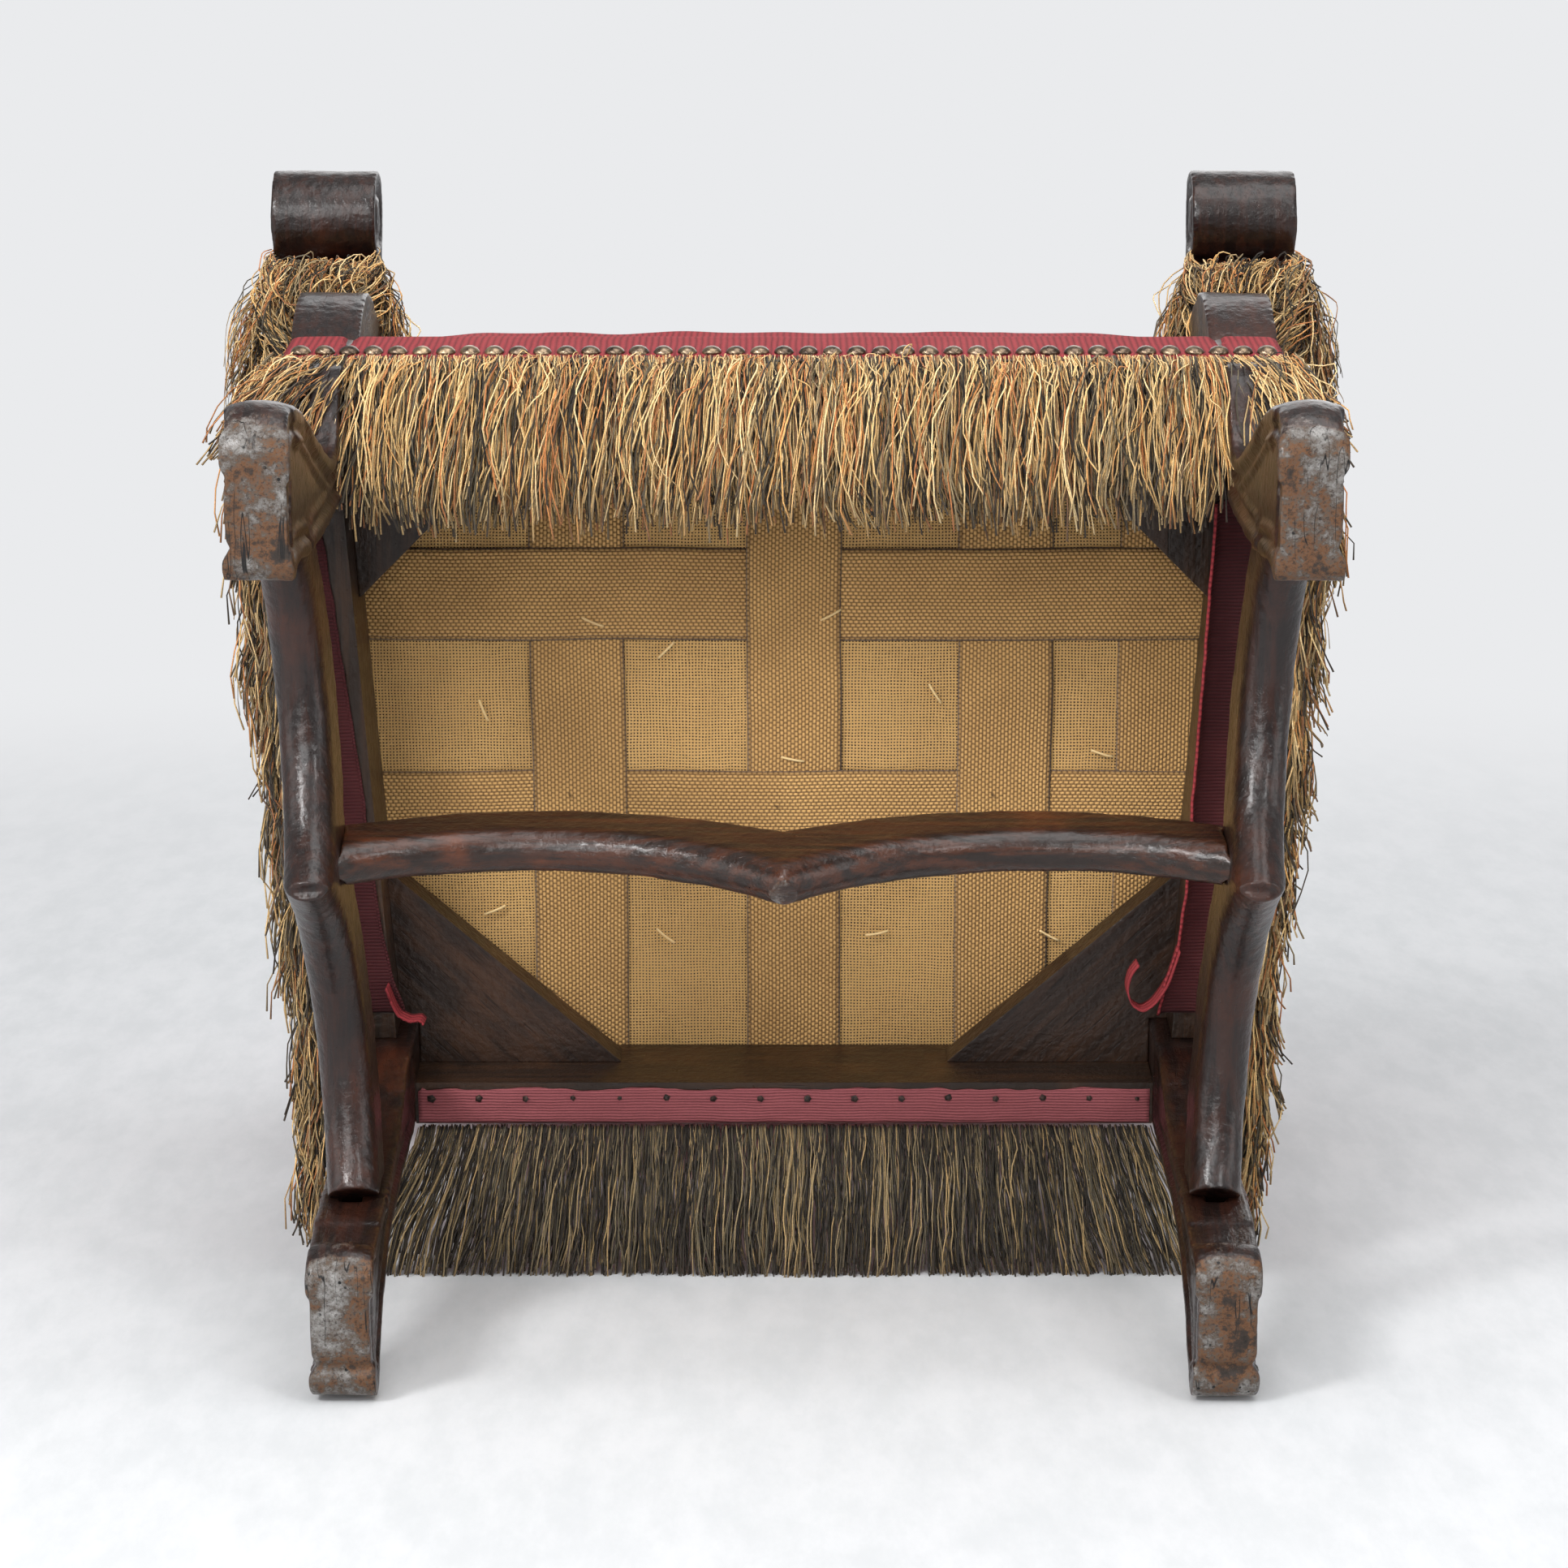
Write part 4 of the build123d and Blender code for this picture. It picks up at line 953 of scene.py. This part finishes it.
back = {
    "rake": math.radians(15.3), "foot": (0.236, 0.420), "halfWidth": 0.298, "low": 0.128, "high": 0.732,
    "rear": -0.0255, "front": 0.0630, "roll": 0.018, "grid": 0.006, "crown": 0.004, "pressure": 3.0,
    "cap": 0.0035, "coverHalf": 0.29651, "inset": 0.002, "cloth": 0.0012, "steps": 80,
}


def rakedPoints(points):
    x, up, out = points.T  # across, up the rake and forward of the posts
    sine, cosine = math.sin(back["rake"]), math.cos(back["rake"])
    y = back["foot"][0] + up * sine - out * cosine + midY
    return np.stack([x, y, back["foot"][1] + up * cosine + out * sine], 1)


def makeBackPad():
    b = back
    w = b["halfWidth"]
    outline = [(-w, b["low"]), (w, b["low"]), (w, b["high"]), (-w, b["high"])]
    obj = remeshed(prism("backPad", outline, b["rear"], b["front"], b["roll"]), b["grid"], 2)
    crowned(obj, b["crown"], (0.32, 0.325), (b["low"] + b["high"]) / 2, 0.02, 0.058)
    puffed(obj, b, lambda p: p[:, 2] < 0.012)
    subdivided(obj)
    normals = readNormals(obj.data)
    points = wavered(readPoints(obj.data), normals, 0.0012, 18.0)
    writePoints(obj.data, rakedPoints(points))
    across = ribsAcross(points[:, 0], 0.05 - points[:, 2], normals)
    finishPad(obj, across, 0.7, "back_cover", "back_stuffing")


def makeOutsideBack():
    b, steps = back, back["steps"]
    height = b["high"] - b["low"] - 2 * b["inset"]
    points = []
    for k, (u, v) in enumerate(gridShares(steps, steps)):
        x, up = b["coverHalf"] * (2 * u - 1), b["low"] + b["inset"] + height * v
        rim = min(k % steps, steps - 1 - k % steps, k // steps, steps - 1 - k // steps)
        sag = 0.0012 * uneven(x * 6.0, up * 6.0, 0.0) * min(rim / 8, 1)
        points.append((x, up, b["rear"] - 0.0022 + sag + (0.0012 if rim == 0 else 0)))
    placed = rakedPoints(np.array(points))
    obj = meshObject("outsideBack", placed, gridFaces(steps, steps))
    setAttribute(obj.data, "across", placed[:, 0])
    thickened(obj, b["cloth"], -1)
    finishPiece(obj, "cover", redRep, "outside_back_cover")


makeBackPad()
makeOutsideBack()
print("back done")


looseCloth = {"thickness": 0.0011, "waves": 0.0022, "level": 0.3286, "selvedge": 0.0011, "steps": 120}
looseEdges = {
    "left": {
        "flat": 0.033, "endFlat": (0.013, 0.044), "turn": 0.002,
        "edge": [(0.3097, -0.181, 0.3279), (0.2985, -0.090, 0.3277), (0.2838, 0.029, 0.3279),
                 (0.2760, 0.111, 0.3277), (0.2690, 0.150, 0.3279), (0.2600, 0.180, 0.3279)],
        "bend": [(0.2700, 0.158), (0.2660, 0.170), (0.2620, 0.178), (0.2545, 0.182), (0.2475, 0.181),
                 (0.2450, 0.184)],
    },
    "right": {
        "flat": 0.054, "endFlat": (0.013, 0.096), "turn": 0.0045,
        "edge": [(0.2845, -0.180, 0.3160), (0.2840, -0.162, 0.3150), (0.2795, -0.070, 0.3155),
                 (0.2743, 0.029, 0.3150), (0.2728, 0.079, 0.3160), (0.2678, 0.131, 0.3190),
                 (0.2600, 0.155, 0.3200), (0.2560, 0.180, 0.3230)],
        "bend": [(0.2678, 0.131), (0.2610, 0.155), (0.2513, 0.170), (0.2436, 0.1748), (0.2360, 0.1700),
                 (0.2326, 0.159), (0.2350, 0.148), (0.2403, 0.141)],
    },
}


def gridSheet(name, rows, material, axis, *replaced):
    points = np.array([p for row in rows for p in row])
    obj = meshObject(name, points, gridFaces(len(rows[0]), len(rows)))
    setAttribute(obj.data, "across", points[:, axis])
    thickened(obj, looseCloth["thickness"])
    return finishPiece(obj, "cover", material, *replaced)


def makeStrip():
    low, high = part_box("turned_under_strip")
    rows, length = [], 169
    for j in range(length):
        x = low.x + (high.x - low.x) * j / (length - 1)
        wave = looseCloth["waves"] * uneven(x * 26.0, 3.0, 0.0) + 0.0012 * uneven(x * 90.0, 9.0, 0.0)
        start = low.y + 0.0015 + wave + (0.006 * uneven(x * 400.0, 0.0, 0.0) if j < 4 else 0)
        row = []
        for share in (i / 9 for i in range(10)):
            y = start + (high.y - start) * share
            buckle = 0.0009 * uneven(x * 45.0, y * 120.0, 2.0) + 0.0006 * abs(2 * share - 1) ** 4
            row.append((x, y, (low.z + high.z) / 2 - 0.0004 + buckle))
        rows.append(row)
    strip = gridSheet("turnedUnderStrip", rows, redRepReverse, 1, "turned_under_strip")


def makeLooseEdge(hand, side):
    own = looseEdges[side]
    xs, ys, zs = zip(*own["edge"])
    rows = []
    for y in np.linspace(ys[0], ys[-1], looseCloth["steps"]):
        x = float(np.interp(y, ys, xs)) + 0.0010 * uneven(y * 60.0, hand * 4.0, 0.0)
        z = float(np.interp(y, ys, zs)) + (0.0012 * uneven(y * 40.0, hand * 7.0, 1.0) if hand > 0 else 0)
        far = 0.3315 - 0.0325 * max(0.0, (y + 0.185) / 0.385)
        level = looseCloth["level"] + 0.0008 * uneven(y * 50.0, 1.0, hand)
        turn = x + own["turn"]
        line = [(far, 0.3335), (far - 0.0006, 0.3305)]
        line += [(across, level) for across in (far - 0.003, far * 0.6 + turn * 0.4, turn)]
        line += [(x + 0.001, (level + z) / 2), (x, z)] if hand > 0 else [(x, level - 0.0002)]
        rows.append([(hand * a, y + midY, b) for a, b in line])
    # the loose edge sheets take the red rep darkened with painted shade
    edge = gridSheet(f"looseEdge.{side}", rows, redRepShaded, 1, f"loose_cover_edge_{side}")
    ys[-1] - ys[0]
    makeLooseEnd(hand, side, own)
    selvedge = tube(f"selvedge.{side}", [row[-1] for row in rows], looseCloth["selvedge"])
    # the left selvedge is darkened with painted shade
    finishPiece(selvedge, "cover", redRep if hand > 0 else redRepShaded)


def makeLooseEnd(hand, side, own):
    steps = np.linspace(0, len(own["bend"]) - 1, 36)
    plan = np.stack([np.interp(steps, range(len(own["bend"])), values) for values in zip(*own["bend"])], 1)
    for _ in range(3):
        plan[1:-1] = (plan[:-2] + 2 * plan[1:-1] + plan[2:]) / 4
    rows = []
    for k, (x, y) in enumerate(plan):
        fray = 0.003 * uneven(k * 0.9, hand * 5.0, 2.0) if hand < 0 else 0.0008 * uneven(k * 0.3, 1.0, 2.0)
        rows.append([(hand * (x + 0.0012 * t), y + midY + 0.0010 * t, 0.3285 - (0.0125 + fray) * t)
                     for t in (0, 0.34, 0.67, 1)])
    flap = gridSheet(f"looseEnd.{side}", rows, redRep, 2)


def tube(name, path, radius, sides=6):
    path = np.array(path, float)
    ahead = np.gradient(path, axis=0)
    ahead /= np.linalg.norm(ahead, axis=1)[:, None]
    aside = np.cross(ahead, (0.0, 0.3, 1.0))
    aside /= np.linalg.norm(aside, axis=1)[:, None]
    turns = [k * math.tau / sides for k in range(sides)]
    points = [centre + radius * (math.cos(t) * u + math.sin(t) * v)
              for centre, u, v in zip(path, aside, np.cross(aside, ahead)) for t in turns]
    obj = meshObject(name, points, ringFaces(sides, len(path)))
    setAttribute(obj.data, "across", np.array(points)[:, 1])
    return obj


makeStrip()
for side, hand in hands.items():
    makeLooseEdge(hand, side)

twine = {
    "radius": 0.0008, "length": 0.016, "level": 0.4040, "shade": shade(226, 196, 142),
    "stitches": [  # where the twine shows under the webbing, and its lean
        (-0.131, -0.076, 0.4), (0.032, -0.081, -0.5), (-0.207, -0.013, 1.2), (0.006, 0.022, 0.2),
        (-0.202, 0.132, -0.4), (-0.083, 0.151, 0.7), (0.065, 0.149, -0.2), (0.186, 0.151, 0.5),
        (0.104, -0.025, 1.0), (-0.081, -0.056, -0.8), (0.220, 0.018, 0.3)],
}


def makeStitches():
    parts = []
    for x, y, lean in twine["stitches"]:
        shares = [k / 8 - 0.5 for k in range(9)]
        path = [(x + t * twine["length"] * math.cos(lean), y + midY + t * twine["length"] * math.sin(lean),
                 twine["level"] + 0.0070 * t * t) for t in shares]
        parts.append(tube("part", path, twine["radius"]))
    material, wires, shader = newMaterial("paleTwine")
    wires.fill(shader, {"Base Color": twine["shade"], "Roughness": 0.8})
    finishPiece(joined("stitches", *parts), "webbing", material)


makeStitches()
for nodeName in ("back_webbing_long", "back_webbing_cross"):
    obj = mergedCopy(nodeName.replace("_", "."), nodeName)
    order = (0, 2) if "long" in nodeName else (2, 0)
    setPlaces(obj.data, [(v.co[order[0]] % webbing["width"], v.co[order[1]]) for v in obj.data.vertices])
    finishPiece(obj, "webbing", juteWebbing, nodeName)
print("strips, stitches and back webbing done")


nails = {"radius": 0.0067, "unevenness": 0.05, "tilt": 0.13, "rings": 5, "sides": 12, "lift": 0.0011}
tacks = {"radius": 0.0030, "unevenness": 0.18, "tilt": 0.35, "rings": 2, "sides": 5, "lift": 0.0}
heads = {"sink": 0.0002, "dome": 0.74}
nailRows = ("front", "side_nails_left", "side_nails_right", "arm_nails_left", "arm_nails_right", "back")


def looseParts(nodeName):
    bm = bmesh.new()
    bm.from_mesh(nodes[nodeName].data)
    bmesh.ops.remove_doubles(bm, verts=bm.verts, dist=1e-5)
    seen, parts = set(), []
    for start in bm.verts:
        if start.index in seen:
            continue
        seen.add(start.index)
        stack, part = [start], []
        while stack:
            vertex = stack.pop()
            part.append(tuple(vertex.co))
            for other in (edge.other_vert(vertex) for edge in vertex.link_edges):
                if other.index not in seen:
                    seen.add(other.index)
                    stack.append(other)
        parts.append(np.array(part))
    bm.free()
    return parts


def headPlace(part):
    centre = part.mean(0)
    axis = np.linalg.svd(part - centre)[2][2]
    height = (part - centre) @ axis
    spread = np.linalg.norm(part - centre - np.outer(height, axis), axis=1)
    if spread[height > 0].mean() > spread[height < 0].mean():
        axis, height = -axis, -height
    return centre + axis * height.min(), axis


def headTree():
    wires, source, *_ = newGroup(
        "placedHeads", {"Geometry": "Geometry", "Object": "Head", "Float": "Size Unevenness Tilt",
                        "Int": "Seed", "Material": "Material"}, {"Geometry": "Geometry"}, "GeometryNodeTree")
    points = wires.out("GeometryNodeMeshToPoints", {"Mesh": source["Geometry"]})
    spread = {"Min": (-1, -1, -1), "Max": (1, 1, 1), "Seed": source["Seed"]}
    wobble = wires.out("FunctionNodeRandomValue", spread, data_type="FLOAT_VECTOR")
    aim = wires.named("facing") + wobble.scaled(source["Tilt"])
    turn = wires.out("FunctionNodeAlignRotationToVector", {"Vector": aim}, axis="Z")
    size = source["Size"] * (1.0 + wires.random(-1.0, 1.0, source["Seed"]) * source["Unevenness"])
    head = wires.out("GeometryNodeObjectInfo", {"Object": source["Head"]}, "Geometry")
    placed = wires.out("GeometryNodeInstanceOnPoints",
                       {"Points": points, "Instance": head, "Rotation": turn, "Scale": size})
    return wires.finish(Geometry=wires.dressed(placed, source["Material"]))


def grown(name, guide, tree, values):
    modifier = guide.modifiers.new("grow", "NODES")
    modifier.node_group = tree
    for item in tree.interface.items_tree:
        if item.in_out == "INPUT" and item.name in values:
            modifier[item.identifier] = values[item.name]
    guide.update_tag()
    bpy.context.view_layer.update()
    applied(guide)
    guide.name = guide.data.name = name
    return guide


def domeHead(name, rings, sides):
    profile = [(math.sin(t), math.cos(t) * heads["dome"]) for t in np.linspace(0, math.pi / 2, rings)][1:]
    profile += [(0.93, -0.10)]
    turns = [2 * math.pi * k / sides for k in range(sides)]
    points = [(0, 0, heads["dome"])]
    points += [(r * math.cos(t), r * math.sin(t), z) for r, z in profile for t in turns]
    faces = [(0, 1 + k, 1 + (k + 1) % sides) for k in range(sides)]
    for a in (1 + j * sides for j in range(len(profile) - 1)):
        around = [(k, (k + 1) % sides) for k in range(sides)]
        faces += [(a + k, a + sides + k, a + sides + n, a + n) for k, n in around]
    last = 1 + (len(profile) - 1) * sides
    faces += [tuple(last + k for k in range(sides))[::-1]]
    obj = meshObject(name, points, faces)
    obj.hide_render = True
    return obj


def brassMaterial():
    material, wires, shader = newMaterial("agedBrass")
    place = wires.place()
    tarnish = wires.cloud(place, 210.0, 4.0, 0.65)
    perNail = wires.cloud(place, 45.0, 1.0)
    color = wires.ramp(tarnish * 0.6 + perNail * 0.4, [
        (0.34, 56, 46, 40), (0.48, 104, 88, 74), (0.60, 146, 126, 102), (0.74, 186, 162, 126)])
    wires.fill(shader, {"Base Color": color, "Metallic": 0.9, "Roughness": 0.16 + tarnish * 0.3,
                        "Normal": wires.bump(wires.cloud(place, 600.0, 3.0), 0.35, 0.0006)})
    return material


def ironMaterial():
    material, wires, shader = newMaterial("rustyIron")
    rust = wires.ramp(wires.cloud(wires.place(), 700.0, 3.0), [(0.4, 28, 24, 24), (0.7, 74, 50, 38)])
    wires.fill(shader, {"Base Color": rust, "Metallic": 0.4, "Roughness": 0.6})
    return material


placedHeads = headTree()


def placeHeads(name, nodeName, look, slotName, material, seed, lift):
    head = domeHead("head", look["rings"], look["sides"])
    spots = [headPlace(part) for part in looseParts(nodeName)]
    up = lift * np.array((0, 0, 1))
    guide = meshObject("guide", [centre - facing * heads["sink"] + up for centre, facing in spots])
    setAttribute(guide.data, "facing", np.array([facing for _, facing in spots]))
    grown(name, guide, placedHeads, {"Head": head, "Size": look["radius"], "Unevenness": look["unevenness"],
                                     "Tilt": look["tilt"], "Seed": seed, "Material": material})
    finishPiece(guide, slotName, material, nodeName)
    bpy.data.objects.remove(head)


agedBrass = brassMaterial()
for seed, name in enumerate(nailRows):
    nodeName = name if "nails" in name else f"{name}_nails"
    placeHeads("domedNails." + name.replace("_nails_", "."), nodeName, nails, "nails", agedBrass, seed,
               0.0 if name == "back" else nails["lift"])
placeHeads("underTacks", "tacks", tacks, "tacks", ironMaterial(), 9, tacks["lift"])
print("nails and tacks done")


def fringeTree():
    wires, source, _, band, _ = newGroup(
        "hangingCords",
        {"Geometry": "Geometry", "Int": "Count Steps Seed", "Float": "Cord Wander Stray Uneven Depth Curl",
         "Material": "Material"}, {"Geometry": "Geometry"}, "GeometryNodeTree")

    def chance(step, low=0.0, high=1.0):
        return wires.random(low, high, source["Seed"] + float(step))

    def kept(geometry, label, value, kind="FLOAT"):
        sockets = {"Geometry": geometry, "Name": label, "Value": value}
        return wires.out("GeometryNodeStoreNamedAttribute", sockets, data_type=kind)

    def combined(*parts):
        return wires.out("ShaderNodeCombineXYZ", dict(enumerate(parts)))

    push, fall, outward, root = (wires.named(label) for label in ("push", "fall", "outward", "root"))
    chanceA, chanceB, layer = (wires.named(label, "FLOAT") for label in ("chanceA", "chanceB", "layer"))
    line = wires.out("GeometryNodeMeshToCurve", {"Mesh": source["Geometry"]})
    spaced = {"Curve": line, "Count": source["Count"]}
    rooted = wires.outputs("GeometryNodeCurveToPoints", spaced, mode="COUNT")
    shift = rooted["Tangent"].scaled(chance(1, -0.0022, 0.0022)) + outward.scaled(chance(2) * source["Depth"])
    roots = wires.out("GeometryNodeSetPosition", {"Geometry": rooted["Points"], "Offset": shift})
    roots = kept(roots, "root", wires.out("GeometryNodeInputPosition"), "FLOAT_VECTOR")
    for step, label in enumerate(("layer", "shade", "chanceA", "chanceB"), 2):
        roots = kept(roots, label, chance(step))
    strand = wires.out("GeometryNodeCurvePrimitiveLine", {"End": (0.0, 0.0, 1.0)})
    strand = wires.out("GeometryNodeResampleCurve", {"Curve": strand, "Count": source["Steps"]})
    placed = wires.out("GeometryNodeInstanceOnPoints", {"Points": roots, "Instance": strand})
    cords = wires.out("GeometryNodeRealizeInstances", {"Geometry": placed})

    t = wires.out("GeometryNodeSplineParameter", out="Factor")
    back = 1.0 - t
    elbow = fall.scaled(0.48) + push.scaled(0.72)
    reach = push.scaled(3.0 * (t * (back * back))) + elbow.scaled(3.0 * (back * (t * t)))
    reach = (reach + fall.scaled(t ** 3.0)).scaled(1.0 + (chanceB - 0.6) * source["Uneven"])
    spread = outward.scaled((layer - 0.4) * (t * band(t, 0.0, 0.3) * 0.020))
    loose = 1.0 + source["Stray"] * chanceA ** 9.0
    bend = wires.sway(combined(t * 1.5, chanceA * 71.0, chanceB * 53.0), 1.0, 2.0, 0.5)
    bend = bend.scaled(band(t, 0.0, 0.4) * (1.25 - t) * source["Wander"] * loose)
    clump = wires.sway(root + fall.scaled(t), 38.0, 2.0).scaled(t * t * 0.018)
    winding = t * ((0.6 + layer) * 5.5) + chanceB * 39.0
    curl = combined(*(wires.math(kind, angle) for kind, angle in (
        ("SINE", winding), ("COSINE", winding), ("SINE", winding * 0.7))))
    bend = bend + curl.scaled(band(chanceB, 0.35, 1.0) * source["Curl"] * band(t, 0.05, 0.4))
    spot = root + reach + (spread + (bend + clump))
    cords = kept(wires.out("GeometryNodeSetPosition", {"Geometry": cords, "Position": spot}), "along", t)

    section = wires.out("GeometryNodeCurvePrimitiveCircle", {"Resolution": 3, "Radius": 1.0})
    width = source["Cord"] * (0.85 + chanceB * 0.4 + band(t, 0.90, 0.97) * 0.45)  # a knot at the end
    tubes = wires.out("GeometryNodeCurveToMesh",
                      {"Curve": cords, "Profile Curve": section, "Scale": width, "Fill Caps": True})
    return wires.finish(Geometry=wires.dressed(tubes, source["Material"]))


def cordMaterial(name, low, high):
    material, wires, shader = newMaterial(name)
    band, mix = wires.band, wires.mix
    shares = {"Value": wires.attribute("shade"), "To Min": low, "To Max": high}
    color = wires.ramp(wires.out("ShaderNodeMapRange", shares), [
        (0.00, 26, 22, 19), (0.16, 44, 38, 32), (0.24, 96, 88, 70), (0.34, 164, 142, 104),
        (0.44, 206, 166, 106), (0.56, 234, 194, 130), (0.72, 252, 222, 166), (0.80, 236, 180, 108),
        (0.88, 208, 132, 76), (0.94, 170, 116, 70), (1.00, 84, 74, 62)])
    spun = wires.cloud(wires.place(), 900.0, 3.0, 0.7)
    color = mix(band(spun, 0.56, 0.38) * 0.35, color, shade(70, 54, 36))
    # the cords darken towards their ends: partly the knots' own colour, partly painted shade
    color = mix(band(wires.attribute("along"), 0.80, 1.0) * 0.60, color, shade(58, 46, 34))
    wires.fill(shader, {"Base Color": color, "Normal": wires.bump(spun, 0.6, 0.0006), "Roughness": 0.78,
                        "Sheen Weight": 0.1, "Specular IOR Level": 0.3})
    return material


spunCord = cordMaterial("spunCord", 0.0, 1.0)
# the rear fringe's cords take the dark end of the same ramp: painted shade
duskyCord = cordMaterial("duskyCord", 0.0, 0.40)
goldCord = cordMaterial("goldCord", 0.5, 0.94)
hangingCords = fringeTree()
fringe = {
    "Cord": 0.00047, "Wander": 0.020, "Stray": 3.4, "Uneven": 0.20, "Depth": 0.0038, "Curl": 0.0060,
    "Steps": 11, "Material": spunCord,
}
fringeLevel, fringeReach, fringeSlack = 0.3366, 0.384, 0.014


def cordGuide(rows):  # each row's points have a place, a push, a fall and an outward direction
    points, edges = [p for row in rows for p in row], []
    starts = np.cumsum([0] + [len(row) for row in rows])
    for low, high in zip(starts, starts[1:]):
        edges += [(i, i + 1) for i in range(int(low), int(high) - 1)]
    places, *rest = zip(*points)
    guide = meshObject("guide", places, edges=edges)
    for name, values in zip(("push", "fall", "outward"), rest):
        setAttribute(guide.data, name, np.array(values, float))
    return guide


def makeFringe(name, nodeName, rows, count, seed, **changes):
    look = {**fringe, **changes, "Count": count, "Seed": seed}
    guide = grown(name, cordGuide(rows), hangingCords, look)
    points = readPoints(guide.data)
    beyond = np.abs(points[:, 0]) - fringeReach  # no strand strays far from the chair
    bent = np.sign(points[:, 0]) * (fringeReach + fringeSlack * np.tanh(np.maximum(beyond, 0) / fringeSlack))
    points[:, 0] = np.where(beyond > 0, bent, points[:, 0])
    writePoints(guide.data, points)
    finishPiece(guide, "fringe", look["Material"], *([nodeName] if nodeName else []))


def frontRows():
    row = []
    for x in np.linspace(-0.331, 0.331, 60):
        corner = smoothStep(0.275, 0.300, abs(x))
        hand = math.copysign(1, x)
        push = (hand * 0.006 * corner, 0.001, -0.031)
        fall = (hand * (0.004 + 0.030 * corner), 0.092 - 0.050 * corner, -0.054 - 0.028 * corner)
        row.append(((x, midY - 0.2718, fringeLevel), push, fall, (0, -1, 0)))
    return [row]


def rearRows():
    return [[((x, midY + 0.2652, fringeLevel), (0, 0.003, -0.034), (2.4 * x ** 3, 0.084, -0.052), (0, 1, 0))
             for x in np.linspace(-0.252, 0.252, 50)]]


def sideRows(hand):
    corners = [(0.3332, -0.276), (0.3332, -0.200), (0.3258, -0.184), (0.3128, 0.0), (0.2995, 0.198),
               (0.2995, 0.262)]
    row = []
    for (xa, ya), (xb, yb) in zip(corners, corners[1:]):
        for k in range(8):
            x, y = xa + (xb - xa) * k / 8, ya + (yb - ya) * k / 8
            fall = (hand * (0.014 + 0.018 * uneven(y * 24.0, hand * 3.0, 0.0)), 0.082, -0.056)
            row.append(((hand * x, y + midY, fringeLevel), (hand * 0.012, 0.004, -0.030), fall, (hand, 0, 0)))
    return [row]


def armRows(hand):
    rows = []
    for edge, away, end in (("outside", 1, 0.255), ("inside", -1, 0.165)):
        row, out = [], away * hand
        for y in np.linspace(-0.288, end, 42):
            x = throughThree(armPad[edge], y) + 0.0012 * away
            spill = 0.020 + 0.012 * uneven(y * 23.0, hand * 5.0, float(away > 0))
            fall = (out * spill, 0.070 - 0.012 * smoothStep(-0.17, -0.26, y), -0.060)
            place, push = (hand * x, y + midY, armBottom(y) + 0.003), (out * 0.010, 0.004, -0.030)
            row.append((place, push, fall, (out, 0, 0)))
        rows.append(row)
    return rows


def underRows(hand):  # strands that cross under the arm, next to its scroll
    rows = []
    for edge, out in (("outside", hand), ("inside", -hand)):
        rows.append([((hand * throughThree(armPad[edge], y) + out * 0.0006, y + midY, armBottom(y) + 0.003),
                      (out * 0.012, -0.004, -0.050), (-out * 0.045, 0.050, -0.060), (out, 0, 0))
                     for y in np.linspace(-0.294, -0.19, 20)])
    inner, outer = (throughThree(armPad[key], -0.286) for key in ("inside", "outside"))
    rows.append([((hand * x, midY - 0.286, 0.600), (0, -0.004, -0.036), (0.0, 0.024, -0.038), (0, -1, 0))
                 for x in np.linspace(inner + 0.003, outer - 0.003, 12)])
    return rows


def shortRows(rows, share):
    return [[(point, tuple(0.8 * c for c in push), tuple(share * c for c in fall), out)
             for point, push, fall, out in row] for row in rows]


makeFringe("cordFringe.front", "front_fringe", frontRows(), 2850, 11)
# the rear fringe is darkened with painted shade
makeFringe("cordFringe.rear", "rear_fringe", rearRows(), 2000, 23, Material=duskyCord,
           Wander=0.014, Curl=0.003, Stray=2.0)
makeFringe("frontTangle", None, shortRows(frontRows(), 0.75), 320, 12, Material=goldCord,
           Cord=0.00040, Wander=0.050, Curl=0.0100, Uneven=0.8, Depth=0.0045, Steps=26, Stray=0.6)
for side, hand in hands.items():
    makeFringe(f"cordFringe.side.{side}", f"side_fringe_{side}", sideRows(hand), 1500, 31 + hand,
               Wander=0.026)
    makeFringe(f"cordFringe.arm.{side}", f"arm_fringe_{side}", armRows(hand), 1000, 41 + hand,
               Wander=0.036, Curl=0.0080, Uneven=0.4, Steps=15, Stray=1.5)
    makeFringe(f"armTangle.{side}", None, underRows(hand), 300, 51 + hand,
               Wander=0.040, Curl=0.0080, Uneven=0.5, Steps=18, Stray=0.8)
print("fringes done")
